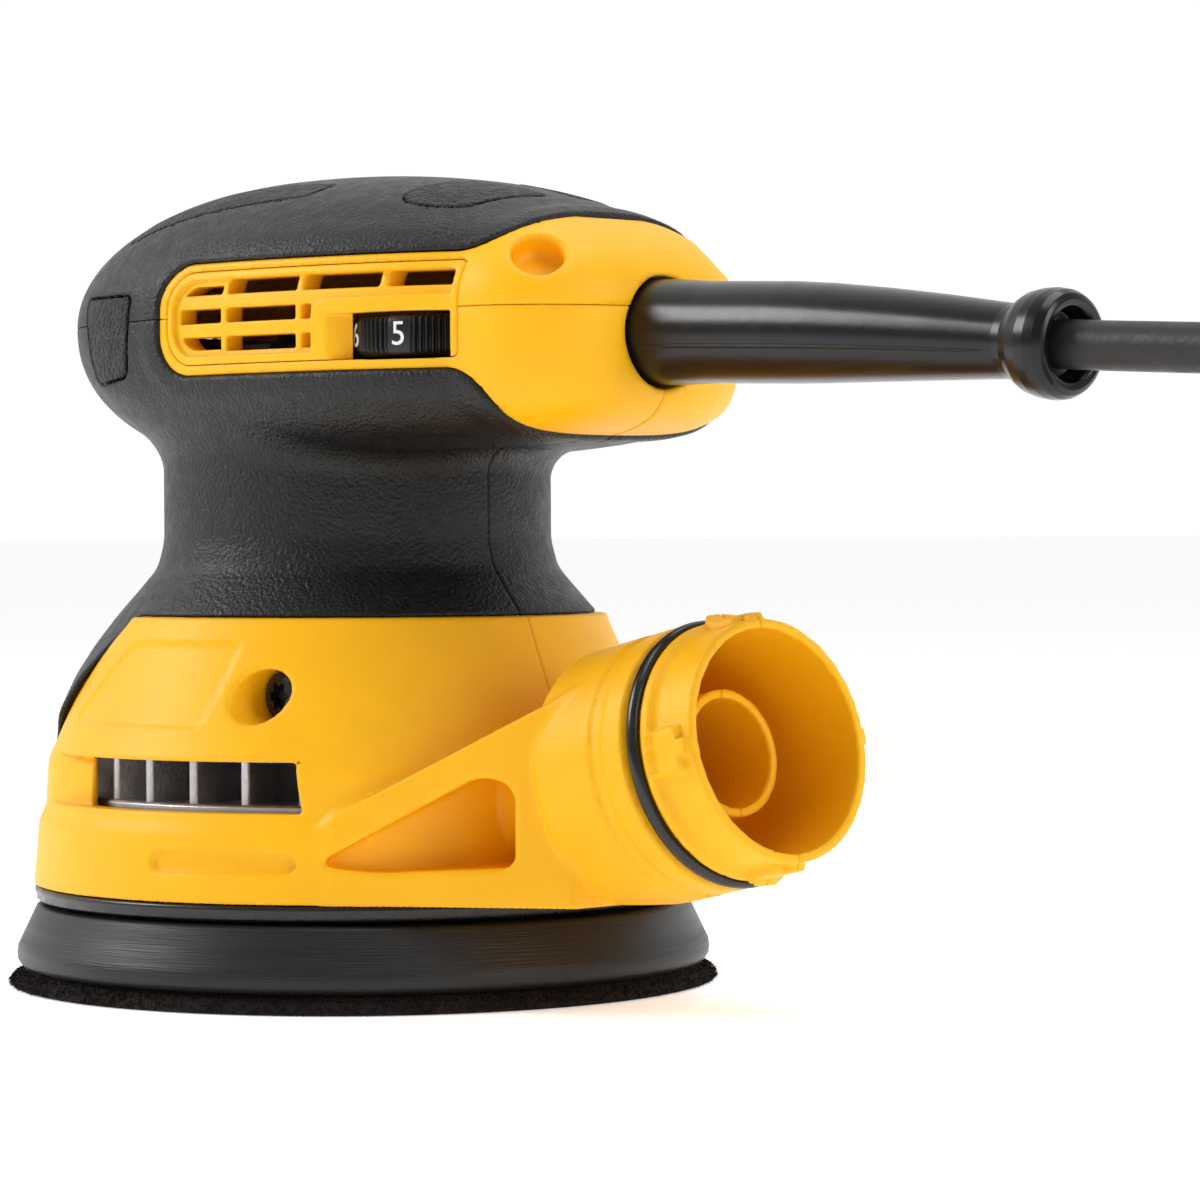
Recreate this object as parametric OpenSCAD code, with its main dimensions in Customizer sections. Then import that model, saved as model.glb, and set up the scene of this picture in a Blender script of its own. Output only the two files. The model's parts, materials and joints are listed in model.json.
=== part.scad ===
// Random orbital palm sander with a dust outlet and a coiled mains lead.
// +Z is up, +X points to the rear (lead and dust outlet), -Y is the left side.
// The origin is on the motor axis, in the plane of the sanding face.

/* [Sanding pad] */
// Diameter of the sanding pad
pad_d = 125; // [123:0.5:126]
// Diameter of the random orbit
orbit_d = 2.4; // [1.6:0.1:2.8]
// Number of dust holes in the pad
dust_hole_count = 8; // [5:1:8]
// Diameter of each dust hole
dust_hole_d = 10; // [8:0.5:11]
// Diameter of the circle the dust holes lie on
dust_hole_pcd = 65; // [63:1:68]

/* [Motor housing] */
// Outer diameter at the bottom rim of the shroud
shroud_d = 114.6; // [114:0.1:116]
// Diameter of the rubber covered neck
neck_d = 68.4; // [68:0.1:70]
// Thickness of the housing walls
wall = 2.6; // [2.4:0.1:2.8]
// Thickness of the rubber skin on the grip
skin = 1.5; // [1.2:0.1:1.6]

/* [Palm grip] */
// Height of the seam between cover and lower housing
seam_z = 115.5; // [115:0.5:117]
// Half width of the grip
grip_half_w = 40; // [39:0.5:42]
// Reach of the grip in front of the widest section
grip_front = 52; // [51:0.5:54]
// Reach of the grip behind the widest section
grip_rear = 80; // [79:0.5:82]
// Height of the crown above the seam
crown_h = 25.75; // [25:0.25:27]

/* [Dust outlet] */
// Upward tilt of the outlet
outlet_tilt = 12.6; // [11:0.2:14]
// Outer diameter of the outlet mouth
mouth_d = 39.8; // [39:0.1:40.4]
// Inner diameter of the inner tube
tube_id = 18.2; // [17:0.1:19]

/* [Controls] */
// Diameter of the speed dial
dial_d = 30.8; // [30:0.1:31]
// Travel of the speed dial from its shown setting to the lowest one
dial_down = 160; // [120:5:160]
// Travel of the power rocker
rocker_travel = 14; // [10:1:16]

/* [Mains lead] */
// Diameter of the lead
cord_d = 7.5; // [7:0.1:8]
// Mean radius of the stored coil
coil_r = 42; // [41:0.5:43]
// Length of the strain relief outside the housing
relief_len = 86.7; // [80:0.1:90]

/* [Hidden] */
$fn = 48;
eps = 0.05;
orbit = orbit_d / 2;
pad_r = pad_d / 2;
pad_top = 14.2;
hook_t = 3.2;
shroud_r = shroud_d / 2;
shroud_z = 17.5;
band_z = 29.5;
ledge_z = 41;
cone_z = 64;
cone_r = 43.9;
neck_r = neck_d / 2;
core_r = neck_r - skin - 0.1;
neck_z = 77;
bore_r = 29.9;
floor_drop = 22.3;
nose_drop = 26.5;
// how much squarer the outline gets towards its rear corners
rear_square = 0.6;
grip_x = -2;
dome_steps = 36;
barrel_back = -36;
duct_angle = 54.9;
// side of the dust duct seen from above: tangent point on the shroud, corner at the barrel, end inside it
DUCT_SIDE = [[(shroud_r - 1.3) * cos(duct_angle), (shroud_r - 1.3) * sin(duct_angle)], [67.5, 21], [71, 18]];
function duct_rise(x) = 7.1 + 0.63 * x;
outlet_x = 102.65;
outlet_z = 45.3;
mouth_r = mouth_d / 2;
dial_x = 43;
dial_y = -18.4;
dial_z = 111.2;
dial_t = 6.8;
module_z = 101;
screw_x = 24;
screw_z = 51.5;
cover_screw_x = 65.6;
cover_screw_y = 17.5;
relief_z = 111.4;
relief_x = 77;
relief_droop = 3.3;
clamp_x = 57;
clamp_t = 4.5;
rocker_x = -46.4;
rocker_z = 108;
rocker_r = 6.9;
brush_z = 100;
brush_back = 19;
slot_end = 28.4;
holder_end = 29.6;
fan_z = 30.5;
fan_r = 49;
blade_h = 10.4;
blades = 30;
plate_z = 43.2;
plate_r = 47.9;
stator_z0 = 58;
stator_z1 = 88;
cord_r = cord_d / 2;
plug_r = 8;
plug_len = 26;
plug_turn = -4;
coil_w = 3 * cord_d;
coil_h = 3 * cord_d;

// centre line of the free lead from the mouth of the strain relief to the coil
LEAD_ROUTE = [[160.5, 0, 106.6], [170, 0, 106], [179.5, 0, 105.5], [189, 0, 105], [197, -0.6, 103.8],
    [204, -2.3, 101.5], [210, -4.4, 98.5], [215, -6.5, 94.9], [219.5, -8.5, 90.7], [223.5, -10.6, 85.7],
    [228, -13.2, 78.3], [233, -16, 69.6], [238, -19, 60.9], [243, -22, 52.3], [248, -25, 43.6],
    [253, -28, 35], [257.5, -30.6, 27.4], [262, -33.1, 20.7], [267, -35.6, 15.2], [273, -38.4, 10.7],
    [280, -41.2, 7.1], [288, -43.3, 4.7], [297, -44, 3.75]];
lead_end = LEAD_ROUTE[len(LEAD_ROUTE) - 1];
coil_x = lead_end.x;
coil_y = lead_end.y + coil_r + cord_d;

// centre line of the end of the lead, from the top turn of the coil to the plug lying on the coil
TAIL_ROUTE = [for (p = [[0, -42, 0], [6, -41.4, 0.5], [14.5, -38.4, 2.6], [22.5, -33.2, 5.4],
    [29.5, -26.2, 8.3], [34.5, -18.4, 10.5], [37.5, -10.8, 11.6], [38.8, -3.4, 11.85]])
    [coil_x + p.x, coil_y + p.y * coil_r / 42, coil_h - cord_r + p.z]];

// ---------- shared shapes ----------

// signed power, the basis of the squared-off grip outline
function spow(v, e) = sign(v) * pow(abs(v), e);

// blend from 0 at the nose to 1 at the rear of the grip
function rearness(t) = pow((1 + cos(t)) / 2, 1.4);

// smooth step from 0 to 1
function soft(v) = let (c = max(0, min(1, v))) c * c * (3 - 2 * c);

// point on the grip surface at azimuth t and elevation e, moved inwards by i
function grip_point(t, e, i) =
    let (w = rearness(t),
         n = cos(t) < 0 ? 2.5 : 2.2 + rear_square * soft((cos(t) - 0.7) / 0.2),
         a = (cos(t) < 0 ? grip_front : grip_rear) - i,
         p = e >= 0 ? 2 + 0.15 * w : 2 + 3.8 * w,
         c = (e >= 0 ? crown_h : nose_drop + (floor_drop - nose_drop) * w) - i,
         s = pow(cos(e), 2 / p))
    [grip_x + a * s * spow(cos(t), 2 / n), (grip_half_w - i) * s * spow(sin(t), 2 / n),
     seam_z + c * spow(sin(e), 2 / p)];

// rows of elevations between the two poles of the grip
LOW_ROWS = [-75, -60, -45, -30, -18, -8];
HIGH_ROWS = [0, 14, 28, 42, 56, 70, 80];

// closed solid of the grip, moved inwards by i; which picks "both", "low" or "high"
module grip_solid(i, which = "both") {
    rows = which == "low" ? concat(LOW_ROWS, [0])
         : which == "high" ? HIGH_ROWS
         : concat(LOW_ROWS, HIGH_ROWS);
    n = dome_steps;
    m = len(rows);
    ring = [for (e = rows) for (k = [0:n - 1]) grip_point(k * 360 / n, e, i)];
    bottom = [grip_x, 0, which == "high" ? seam_z : seam_z - (floor_drop + nose_drop) / 2 + i];
    top = [grip_x, 0, which == "low" ? seam_z : seam_z + crown_h - i];
    sides = [for (r = [0:m - 2]) for (k = [0:n - 1]) for (h = [0, 1])
        let (a = r * n + k, b = r * n + (k + 1) % n)
        h == 0 ? [a, a + n, b + n] : [a, b + n, b]];
    caps = [for (k = [0:n - 1]) for (h = [0, 1])
        let (q = (k + 1) % n)
        h == 0 ? [m * n, k, q] : [m * n + 1, (m - 1) * n + q, (m - 1) * n + k]];
    polyhedron(points = concat(ring, [bottom, top]), faces = concat(sides, caps));
}

// arc of points about a centre
function arc(cx, cy, r, a0, a1, n = 8) =
    [for (k = [0:n]) [cx + r * cos(a0 + (a1 - a0) * k / n), cy + r * sin(a0 + (a1 - a0) * k / n)]];

// side view outline of the hard plastic left free of rubber: side band and rear cap
HARD_OUTLINE = concat([[130, 70], [64.5, 70]], arc(55.5, 96.7, 9, 0, 90), arc(1.6, 112.7, 7, 270, 180),
    arc(1.6, 117.7, 7, 180, 90), arc(55, 133.7, 9, 270, 360), [[64, 150], [130, 150]]);

// extrudes a side view outline (x, z) between two y values
module side_prism(y0, y1) {
    translate([0, y1, 0]) rotate([90, 0, 0]) linear_extrude(y1 - y0) children();
}

// everything the rubber covers on the grip
module rubber_zone() {
    difference() {
        translate([-80, -60, 60]) cube([160, 120, 100]);
        side_prism(-70, 70) polygon(HARD_OUTLINE);
    }
}

// side panel outline, inset by i
module panel_outline(i) {
    translate([-3 + i, 107.4 + i]) square([61.5 - 2 * i, 15.8 - 2 * i]);
}

// y < 0 half for the left, y > 0 half for the right
module half(side) {
    intersection() {
        children();
        translate([-200, side < 0 ? -200 : 0, -10]) cube([400, 200, 200]);
    }
}

// puts its children in the outlet frame: local +Z leaves the mouth, local 0 is the mouth plane
module at_outlet() {
    translate([outlet_x, 0, outlet_z]) rotate([0, 90 - outlet_tilt, 0]) children();
}

// ring with a round bore
module tube(r_out, r_in, h) {
    difference() {
        cylinder(r = r_out, h = h);
        translate([0, 0, -1]) cylinder(r = r_in, h = h + 2);
    }
}

// socket head or pan head screw along +Z, head on top at z = 0
module screw(r, len, head_r, head_h) {
    union() {
        translate([0, 0, -len]) cylinder(r = r, h = len + eps);
        difference() {
            cylinder(r = head_r, h = head_h);
            translate([0, 0, head_h - head_h / 2]) cylinder(r = head_r * 0.5, h = head_h, $fn = 6);
        }
    }
}

// ---------- housing ----------

SHROUD_OUT = concat([[0, shroud_z], [shroud_r, shroud_z], [shroud_r - 1, band_z],
    [shroud_r - 2.1, band_z + 1.5], [shroud_r - 2.7, ledge_z - 1], [shroud_r - 4, ledge_z + 1.5],
    [cone_r + 8.5, ledge_z + 3.5], [cone_r, cone_z], [cone_r - 1, cone_z + 0.7]],
    [[cone_r - 2.8, cone_z + 0.7], [core_r + 1.6, 71.5], [core_r, neck_z], [core_r, 106], [0, 106]]);
SHROUD_IN = [[0, shroud_z - 1], [shroud_r - 2.8, shroud_z - 1], [shroud_r - 3.8, band_z],
    [shroud_r - 5.4, ledge_z], [plate_r + 1.5, plate_z], [plate_r + 0.2, plate_z + 2.2],
    [plate_r - 4.9, plate_z + 2.2], [plate_r - 4.9, plate_z + 4.2], [plate_r - 0.6, plate_z + 4.2],
    [plate_r - 0.6, plate_z + 6],
    [cone_r - 4.4, cone_z - 0.4],
    [bore_r + 1.6, 70], [bore_r, 73], [bore_r, 107], [0, 107]];

// outer skin of the outlet as a turned shape, local z negative into the tool
module outlet_barrel() {
    rotate_extrude() polygon([[0, -62], [12.6, -62], [12.6, barrel_back], [22, barrel_back], [22, -21],
        [21.6, -20.5], [21.6, -14], [20.2, -13.4], [20.2, -10.4], [mouth_r + 1.2, -10.2],
        [mouth_r + 1.2, -8.6], [mouth_r, -8.4], [mouth_r, 0], [0, 0]]);
    for (k = [0:3]) {
        intersection() {
            rotate([0, 0, k * 90]) translate([mouth_r - 3, -3.2, -6.6]) cube([4.6, 6.4, 6]);
            translate([0, 0, -8.4]) cylinder(r = mouth_r + 1.3, h = 8.4);
        }
    }
}

// wedge that leads the dust from the shroud to the outlet: flat sides tangent to the shroud, sloping top
module duct() {
    intersection() {
        translate([0, 0, shroud_z]) linear_extrude(50) polygon([for (s = [-1, 1]) for (q = [0:2])
            let (k = s < 0 ? q : 2 - q) [DUCT_SIDE[k].x, s * DUCT_SIDE[k].y]]);
        side_prism(-60, 60) polygon([[20, shroud_z], [80, shroud_z], [80, duct_rise(80)], [20, duct_rise(20)]]);
    }
}

// hollow of the outlet: a wide cup around a recessed inner tube
module outlet_hollow() {
    difference() {
        translate([0, 0, -30]) cylinder(r = mouth_r - 1.5, h = 31);
        translate([0, 0, -31]) cylinder(r = tube_id / 2 + 1.4, h = 20);
    }
    translate([0, 0, -72]) cylinder(r = tube_id / 2, h = 73);
}

// solid of the whole lower housing before it is split
module lower_housing() {
    difference() {
        union() {
            rotate_extrude($fn = 96) polygon(SHROUD_OUT);
            difference() {
                grip_solid(0, "low");
                difference() {
                    rubber_zone();
                    grip_solid(skin, "low");
                }
            }
            difference() {
                union() {
                    at_outlet() outlet_barrel();
                    duct();
                }
                translate([0, -40, -20]) cube([120, 80, 20 + shroud_z]);
                cylinder(r = shroud_r - 8, h = 60);
            }
        }
        difference() {
            rotate_extrude($fn = 96) polygon(SHROUD_IN);
            screw_collar();
        }
        difference() {
            grip_solid(wall + skin, "low");
            grip_posts();
        }
        translate([0, 0, 90]) cylinder(r = bore_r, h = 30);
        at_outlet() outlet_hollow();
        fan_windows();
        side_prism(-60, -20) panel_outline(0);
        side_prism(20, 60) panel_outline(0);
        translate([screw_x, -36.2, screw_z]) rotate([90, 0, 0]) cylinder(r = 4.6, h = 20);
        translate([screw_x, 36.2, screw_z]) rotate([90, 0, 0]) cylinder(r = 1.9, h = 80);
        relief_opening();
        rocker_opening();
        translate([dial_x, dial_y, dial_z - dial_t / 2 - 0.5]) cylinder(r = dial_d / 2 + 0.5, h = dial_t + 2);
        for (s = [-1, 1]) {
            translate([cover_screw_x, s * cover_screw_y, seam_z - 8]) cylinder(r = 1.45, h = 10);
        }
        plate_screw_spots() translate([0, 0, plate_z]) cylinder(r = 1.25, h = 5);
    }
}

// round opening in the rear wall for the strain relief
module relief_opening() {
    translate([relief_x - 12.5, 0, relief_z]) rotate([0, 90, 0]) cylinder(r = 9.1, h = 30);
}

// opening in the nose for the power rocker
module rocker_opening() {
    translate([rocker_x - 14, -11.3, rocker_z - rocker_r - 0.35]) cube([22, 22.6, 2 * rocker_r + 0.7]);
}

// ledges under the upper bearing carrier, posts under the cover screws and a seat for the cord clamp
module grip_posts() {
    difference() {
        translate([clamp_x, -10.5, 80]) cube([clamp_t, 21, 25.9]);
        clamp_spots() cylinder(r = 1.45, h = 40, center = true);
    }
    for (s = [-1, 1]) {
        translate([cover_screw_x, s * cover_screw_y, 80]) cylinder(r = 5.3, h = 50);
        for (x = [-14, 7]) {
            translate([x, s * 31.5 - 4.5, 80]) cube([7, 9, 26.9]);
        }
    }
}

// puts its children at the screws of the cord clamp, on its top face
module clamp_spots() {
    for (s = [-1, 1]) {
        translate([clamp_x + clamp_t / 2, s * 8, 117.65]) children();
    }
}

// cooling air windows in the shroud, one each side
module fan_windows() {
    for (s = [-1, 1]) {
        translate([-14, s > 0 ? 36 : -66, 32.4]) cube([46, 30, 8.6]);
    }
}

// boss that takes the clamshell screw, widened around the head recess
module screw_collar() {
    intersection() {
        union() {
            translate([screw_x, 44, screw_z]) rotate([90, 0, 0]) cylinder(r = 3.6, h = 88);
            translate([screw_x, -34.2, screw_z]) rotate([90, 0, 0]) cylinder(r = 5.7, h = 12);
        }
        rotate_extrude($fn = 96) polygon(SHROUD_OUT);
    }
}

module housing_left() {
    color("gold") half(-1) lower_housing();
}

module housing_right() {
    color("gold") half(1) lower_housing();
}

module top_cover() {
    color("gold")
    difference() {
        grip_solid(0, "high");
        difference() {
            grip_solid(wall + skin, "high");
            for (s = [-1, 1]) {
                translate([cover_screw_x, s * cover_screw_y, seam_z - 1]) cylinder(r = 5.3, h = 20);
            }
        }
        difference() {
            rubber_zone();
            grip_solid(skin, "high");
        }
        side_prism(-60, -20) panel_outline(0);
        side_prism(20, 60) panel_outline(0);
        relief_opening();
        for (s = [-1, 1]) {
            translate([cover_screw_x, s * cover_screw_y, seam_z - 1]) cylinder(r = 1.5, h = 10);
            translate([cover_screw_x, s * cover_screw_y, seam_z + 3]) cylinder(r = 4, h = 30);
        }
    }
}

// ---------- rubber skins ----------

NECK_RUBBER = concat([[core_r + 1.6, 71.5], [cone_r - 2.8, cone_z + 0.7], [cone_r - 1.3, cone_z + 0.7]],
    arc(neck_r + 9, neck_z, 9, 222, 180, 6), [[neck_r, 97], [core_r, 97], [core_r, neck_z]]);
BIB_RUBBER = [[shroud_r - 2.1, band_z + 1.5], [shroud_r - 2.7, ledge_z - 1], [shroud_r - 4, ledge_z + 1.5],
    [cone_r + 8.5, ledge_z + 3.5], [cone_r, cone_z], [cone_r - 1, cone_z + 0.7],
    [cone_r - 2.6, cone_z + 0.75], [cone_r - 2, cone_z + 1.7], [cone_r + 0.3, cone_z + 0.9],
    [cone_r + 9.6, ledge_z + 4], [shroud_r - 2.9, ledge_z + 1.9],
    [shroud_r - 1.6, ledge_z - 0.9], [shroud_r - 1.1, band_z + 1.5]];

module rubber_body() {
    difference() {
        union() {
            difference() {
                rotate_extrude($fn = 96) polygon(NECK_RUBBER);
                grip_solid(skin, "low");
            }
            intersection() {
                rotate_extrude($fn = 96) polygon(BIB_RUBBER);
                side_prism(-70, 70) polygon([[-70, 14.8], [-10.3, 64], [-10.3, 66], [-70, 66]]);
            }
            intersection() {
                difference() {
                    grip_solid(0, "low");
                    grip_solid(skin, "low");
                }
                rubber_zone();
            }
        }
        translate([0, 0, 80]) cylinder(r = core_r, h = 30);
        rocker_opening();
    }
}

module overmold_left() {
    color("dimgray") half(-1) rubber_body();
}

module overmold_right() {
    color("dimgray") half(1) rubber_body();
}

module top_grip() {
    color("dimgray")
    intersection() {
        difference() {
            grip_solid(0, "high");
            grip_solid(skin, "high");
        }
        rubber_zone();
    }
}

// textured pads let into the rubber, on both sides of the nose
module grip_pads() {
    color("black")
    for (s = [-1, 1]) {
        intersection() {
            difference() {
                grip_solid(-0.5);
                grip_solid(0);
            }
            side_prism(s < 0 ? -60 : 20, s < 0 ? -20 : 60)
                polygon([[-31.5, 119.5], [-15, 119.5], [-15.5, 105.5], [-27, 105.5]]);
        }
    }
}

// ---------- side panels ----------

VENT_ROWS = [109.6, 114.4, 119.2];
VENT_H = 2.5;

// vent slots of one row between the given x edges
module vent_slots(z, edges) {
    for (k = [0:len(edges) - 2]) {
        translate([edges[k] + 0.6, 20, z]) cube([edges[k + 1] - edges[k] - 1.2, 30, VENT_H]);
    }
}

module panel_blank(i) {
    intersection() {
        difference() {
            grip_solid(0);
            grip_solid(wall + 0.9);
        }
        side_prism(20, 60) panel_outline(i);
    }
}

module vent_panel_right() {
    color("orange")
    difference() {
        panel_blank(0.1);
        for (z = VENT_ROWS) {
            vent_slots(z, [-1, 10.4, 28, 44.4, 57.4]);
        }
    }
}

module vent_panel_left() {
    color("orange")
    mirror([0, 1, 0])
    difference() {
        panel_blank(0.1);
        vent_slots(VENT_ROWS[2], [-1, 10.4, 28, 44.4, 57.4]);
        vent_slots(VENT_ROWS[1], [-1, 10.4, 28]);
        vent_slots(VENT_ROWS[0], [-1, 10.4, 28]);
        translate([dial_x - 9, 20, dial_z - dial_t / 2 - 0.4]) cube([23, 30, dial_t + 0.8]);
    }
}

// ---------- outlet seal and brake ring ----------

module outlet_seal() {
    color("black")
    at_outlet() translate([0, 0, -11.9]) rotate_extrude() translate([21.2, 0]) circle(r = 0.95, $fn = 24);
}

module brake_ring() {
    color("black")
    rotate_extrude($fn = 96) polygon([[shroud_r - 3.6, shroud_z + 4], [shroud_r - 3.6, shroud_z],
        [shroud_r - 0.2, shroud_z], [shroud_r - 0.2, pad_top + 0.4], [shroud_r - 5.6, pad_top + 0.4],
        [shroud_r - 5.6, shroud_z + 4]]);
}

// ---------- bearings and their carriers ----------

module bearing_outer(r_out, r_in, h) {
    tube(r_out, r_in, h);
}

module bearing_plate() {
    color("silver")
    difference() {
        union() {
            translate([0, 0, plate_z]) cylinder(r = plate_r, h = 2.2);
            translate([0, 0, plate_z]) cylinder(r = 16.4, h = 10.8);
        }
        translate([0, 0, plate_z - 1]) cylinder(r = 12, h = 4);
        translate([0, 0, plate_z + 2.4]) cylinder(r = 14, h = 10);
        for (k = [0:7]) {
            rotate([0, 0, k * 45 + 22.5]) translate([31, 0, plate_z - 1]) cylinder(r = 7.5, h = 4);
        }
        plate_screw_spots() translate([0, 0, plate_z - 1]) cylinder(r = 1.25, h = 4);
    }
}

// puts its children at the screws of the bearing plate
module plate_screw_spots() {
    for (k = [0:2]) {
        rotate([0, 0, k * 120 + 90]) translate([plate_r - 3.3, 0, 0]) children();
    }
}

module lower_bearing() {
    color("lightsteelblue") translate([0, 0, plate_z + 2.4]) bearing_outer(14, 8.05, 8);
}

module upper_bearing() {
    color("lightsteelblue") translate([0, 0, 107.5]) bearing_outer(11, 6.05, 7);
}

module bearing_carrier() {
    color("dimgray")
    difference() {
        union() {
            translate([0, 0, 106.9]) cylinder(r = 14.5, h = 8.2);
            translate([-14, -31.5, 106.9]) cube([28, 63, 4]);
        }
        translate([0, 0, 107.5]) cylinder(r = 11, h = 9);
        translate([0, 0, 105]) cylinder(r = 9.5, h = 5);
    }
}

// ---------- field ----------

module field_laminations() {
    color("gray")
    translate([0, 0, stator_z0])
    difference() {
        cylinder(r = 29.6, h = stator_z1 - stator_z0);
        translate([0, 0, -1]) cylinder(r = 17.2, h = 40);
        for (s = [-1, 1]) {
            translate([s * 22, 0, 15]) cube([8, 26, 40], center = true);
        }
    }
}

// two oval field coils, seen above and below the iron
module field_windings() {
    color("peru")
    for (s = [-1, 1]) {
        difference() {
            translate([s * 22, 0, (stator_z0 + stator_z1) / 2 + 1.3])
                cube([7.6, 25.6, stator_z1 - stator_z0 + 6.4], center = true);
            translate([0, 0, 40]) cylinder(r = 17.6, h = 60);
        }
    }
}

// ---------- brushes ----------

module brush_holders() {
    color("brown")
    for (s = [-1, 1]) {
        difference() {
            translate([-5.2, s > 0 ? 13 : -holder_end, brush_z - 6.5]) cube([10.4, holder_end - 13, 12.4]);
            translate([-3.3, s > 0 ? 10 : -slot_end, brush_z - 4.8]) cube([6.6, slot_end - 10, 9.2]);
        }
    }
}

// one carbon brush bearing on the commutator, on the +Y side
module brush() {
    difference() {
        translate([-3.1, 9, brush_z - 4.5]) cube([6.2, brush_back - 9, 8.8]);
        translate([0, 0, brush_z - 10]) cylinder(r = 11.6, h = 20);
    }
}

module brush_left() {
    color("darkslategray") mirror([0, 1, 0]) brush();
}

module brush_right() {
    color("darkslategray") brush();
}

// compression spring behind a brush, on the +Y side
spring_turns = 5;
spring_from = brush_back + 0.5;
spring_to = slot_end - 0.5;
SPRING_ROUTE = [for (k = [0:12 * spring_turns])
    [2.3 * cos(30 * k), spring_from + (spring_to - spring_from) * k / (12 * spring_turns),
     brush_z + 2.3 * sin(30 * k)]];

module brush_spring() {
    sweep(SPRING_ROUTE, 0.4, 6);
}

module brush_spring_left() {
    color("silver") mirror([0, 1, 0]) brush_spring();
}

module brush_spring_right() {
    color("silver") brush_spring();
}

// ---------- controls ----------

module speed_module() {
    color("darkgreen") {
        difference() {
            union() {
                translate([32, -12, module_z]) cube([24.5, 24, 106 - module_z]);
                translate([dial_x - 7, dial_y - 7, module_z]) cube([14, 14, 106 - module_z]);
            }
            translate([36, -5, 103]) cube([10, 10, 6]);
        }
        translate([dial_x, dial_y, 106]) cylinder(r = 3, h = dial_t + 4);
    }
}

module speed_dial() {
    color("black")
    difference() {
        translate([dial_x, dial_y, dial_z - dial_t / 2]) cylinder(r = dial_d / 2, h = dial_t);
        translate([dial_x, dial_y, dial_z - dial_t]) cylinder(r = 3.05, h = 2 * dial_t);
    }
}

module switch_module() {
    color("black")
    difference() {
        translate([-38.5, -10, 102.5]) cube([7.5, 20, 11.5]);
        translate([-39.5, -8, 105]) cube([2, 16, 6]);
    }
}

// rocker with a dished face, tipped up at rest
module switch_rocker() {
    color("crimson")
    translate([rocker_x, 0, rocker_z]) rotate([0, -rocker_travel / 2, 0])
    difference() {
        translate([0, 11, 0]) rotate([90, 0, 0]) cylinder(r = rocker_r, h = 22);
        translate([-rocker_r - 8.6, 12, 0]) rotate([90, 0, 0]) cylinder(r = 10, h = 24);
        translate([1.5, -12, -10]) cube([10, 24, 20]);
    }
}

// ---------- armature ----------

module armature_shaft() {
    color("silver") {
        translate([0, 0, 30]) cylinder(r = 5.98, h = 24.8);
        translate([0, 0, 54.8]) cylinder(r = 5, h = 51.7);
        translate([0, 0, 106.5]) cylinder(r = 4, h = 10);
    }
}

module armature_laminations() {
    color("slategray")
    difference() {
        translate([0, 0, stator_z0]) cylinder(r = 16.6, h = stator_z1 - stator_z0);
        translate([0, 0, 50]) cylinder(r = 5, h = 50);
        for (k = [0:11]) {
            rotate([0, 0, k * 30]) translate([14.5, 0, 50]) translate([0, -1.4, 0]) cube([4, 2.8, 50]);
        }
    }
}

module armature_windings() {
    color("peru")
    for (z = [stator_z0 - 3, stator_z1]) {
        translate([0, 0, z]) tube(14.2, 5, z < stator_z1 ? 3 : 5);
    }
}

module commutator() {
    color("chocolate")
    difference() {
        translate([0, 0, 94.2]) cylinder(r = 11.5, h = 11.6);
        translate([0, 0, 90]) cylinder(r = 5, h = 20);
        for (k = [0:23]) {
            rotate([0, 0, k * 15]) translate([10.9, -0.3, 93]) cube([2, 0.6, 14]);
        }
    }
}

module inner_races() {
    color("lightsteelblue") {
        translate([0, 0, plate_z + 2.4]) tube(8, 6, 8);
        translate([0, 0, 107.5]) tube(6, 4, 7);
    }
}

// radial fan with an eccentric collar for the pad bearing
module fan() {
    color("silver")
    difference() {
        union() {
            translate([0, 0, fan_z]) cylinder(r = fan_r, h = 2);
            translate([0, 0, fan_z]) cylinder(r = 13, h = blade_h + 1);
            translate([orbit, 0, 20]) cylinder(r = 17, h = 11);
            for (k = [1:blades]) {
                rotate([0, 0, k * 360 / blades]) translate([27, -0.7, fan_z + 1]) cube([fan_r - 27.6, 1.4, blade_h]);
            }
        }
        translate([0, 0, fan_z - 0.5]) cylinder(r = 6, h = 20);
        translate([orbit, 0, 18]) cylinder(r = 14, h = 10);
        translate([orbit, 0, 18]) cylinder(r = 9, h = 12.4);
    }
}

module counterweight() {
    color("darkgray")
    intersection() {
        difference() {
            translate([0, 0, 22]) cylinder(r = 34, h = fan_z - 22);
            translate([orbit, 0, 20]) cylinder(r = 17, h = 20);
        }
        translate([-60, -26, 20]) cube([57, 52, 20]);
    }
}

module pad_bearing() {
    color("lightsteelblue") translate([orbit, 0, 20]) tube(14, 8.05, 8);
}

// ---------- pad ----------

module pad_spindle() {
    color("silver")
    translate([orbit, 0, 0])
    difference() {
        union() {
            translate([0, 0, 9]) cylinder(r = 20, h = 5);
            translate([0, 0, 13]) cylinder(r = 8, h = 15);
        }
        for (k = [0:2]) {
            rotate([0, 0, k * 120]) translate([14, 0, 8]) cylinder(r = 2, h = 7);
        }
    }
}

PAD_PROFILE = concat([[0, hook_t], [pad_r - 3.9, hook_t], [pad_r - 2.2, 4]],
    arc(pad_r - 3.4, 6, 1.9, -60, 20, 5),
    [[pad_r - 5, pad_top - 0.3], [pad_r - 5.6, pad_top], [pad_r - 9, pad_top], [pad_r - 11, 9], [0, 9]]);

// pattern of the dust holes, drilled through whatever is below z1
module dust_holes(z1) {
    for (k = [0:dust_hole_count - 1]) {
        rotate([0, 0, (k + 0.5) * 360 / dust_hole_count]) translate([dust_hole_pcd / 2, 0, -1])
            cylinder(r = dust_hole_d / 2, h = z1 + 1);
    }
}

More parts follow.
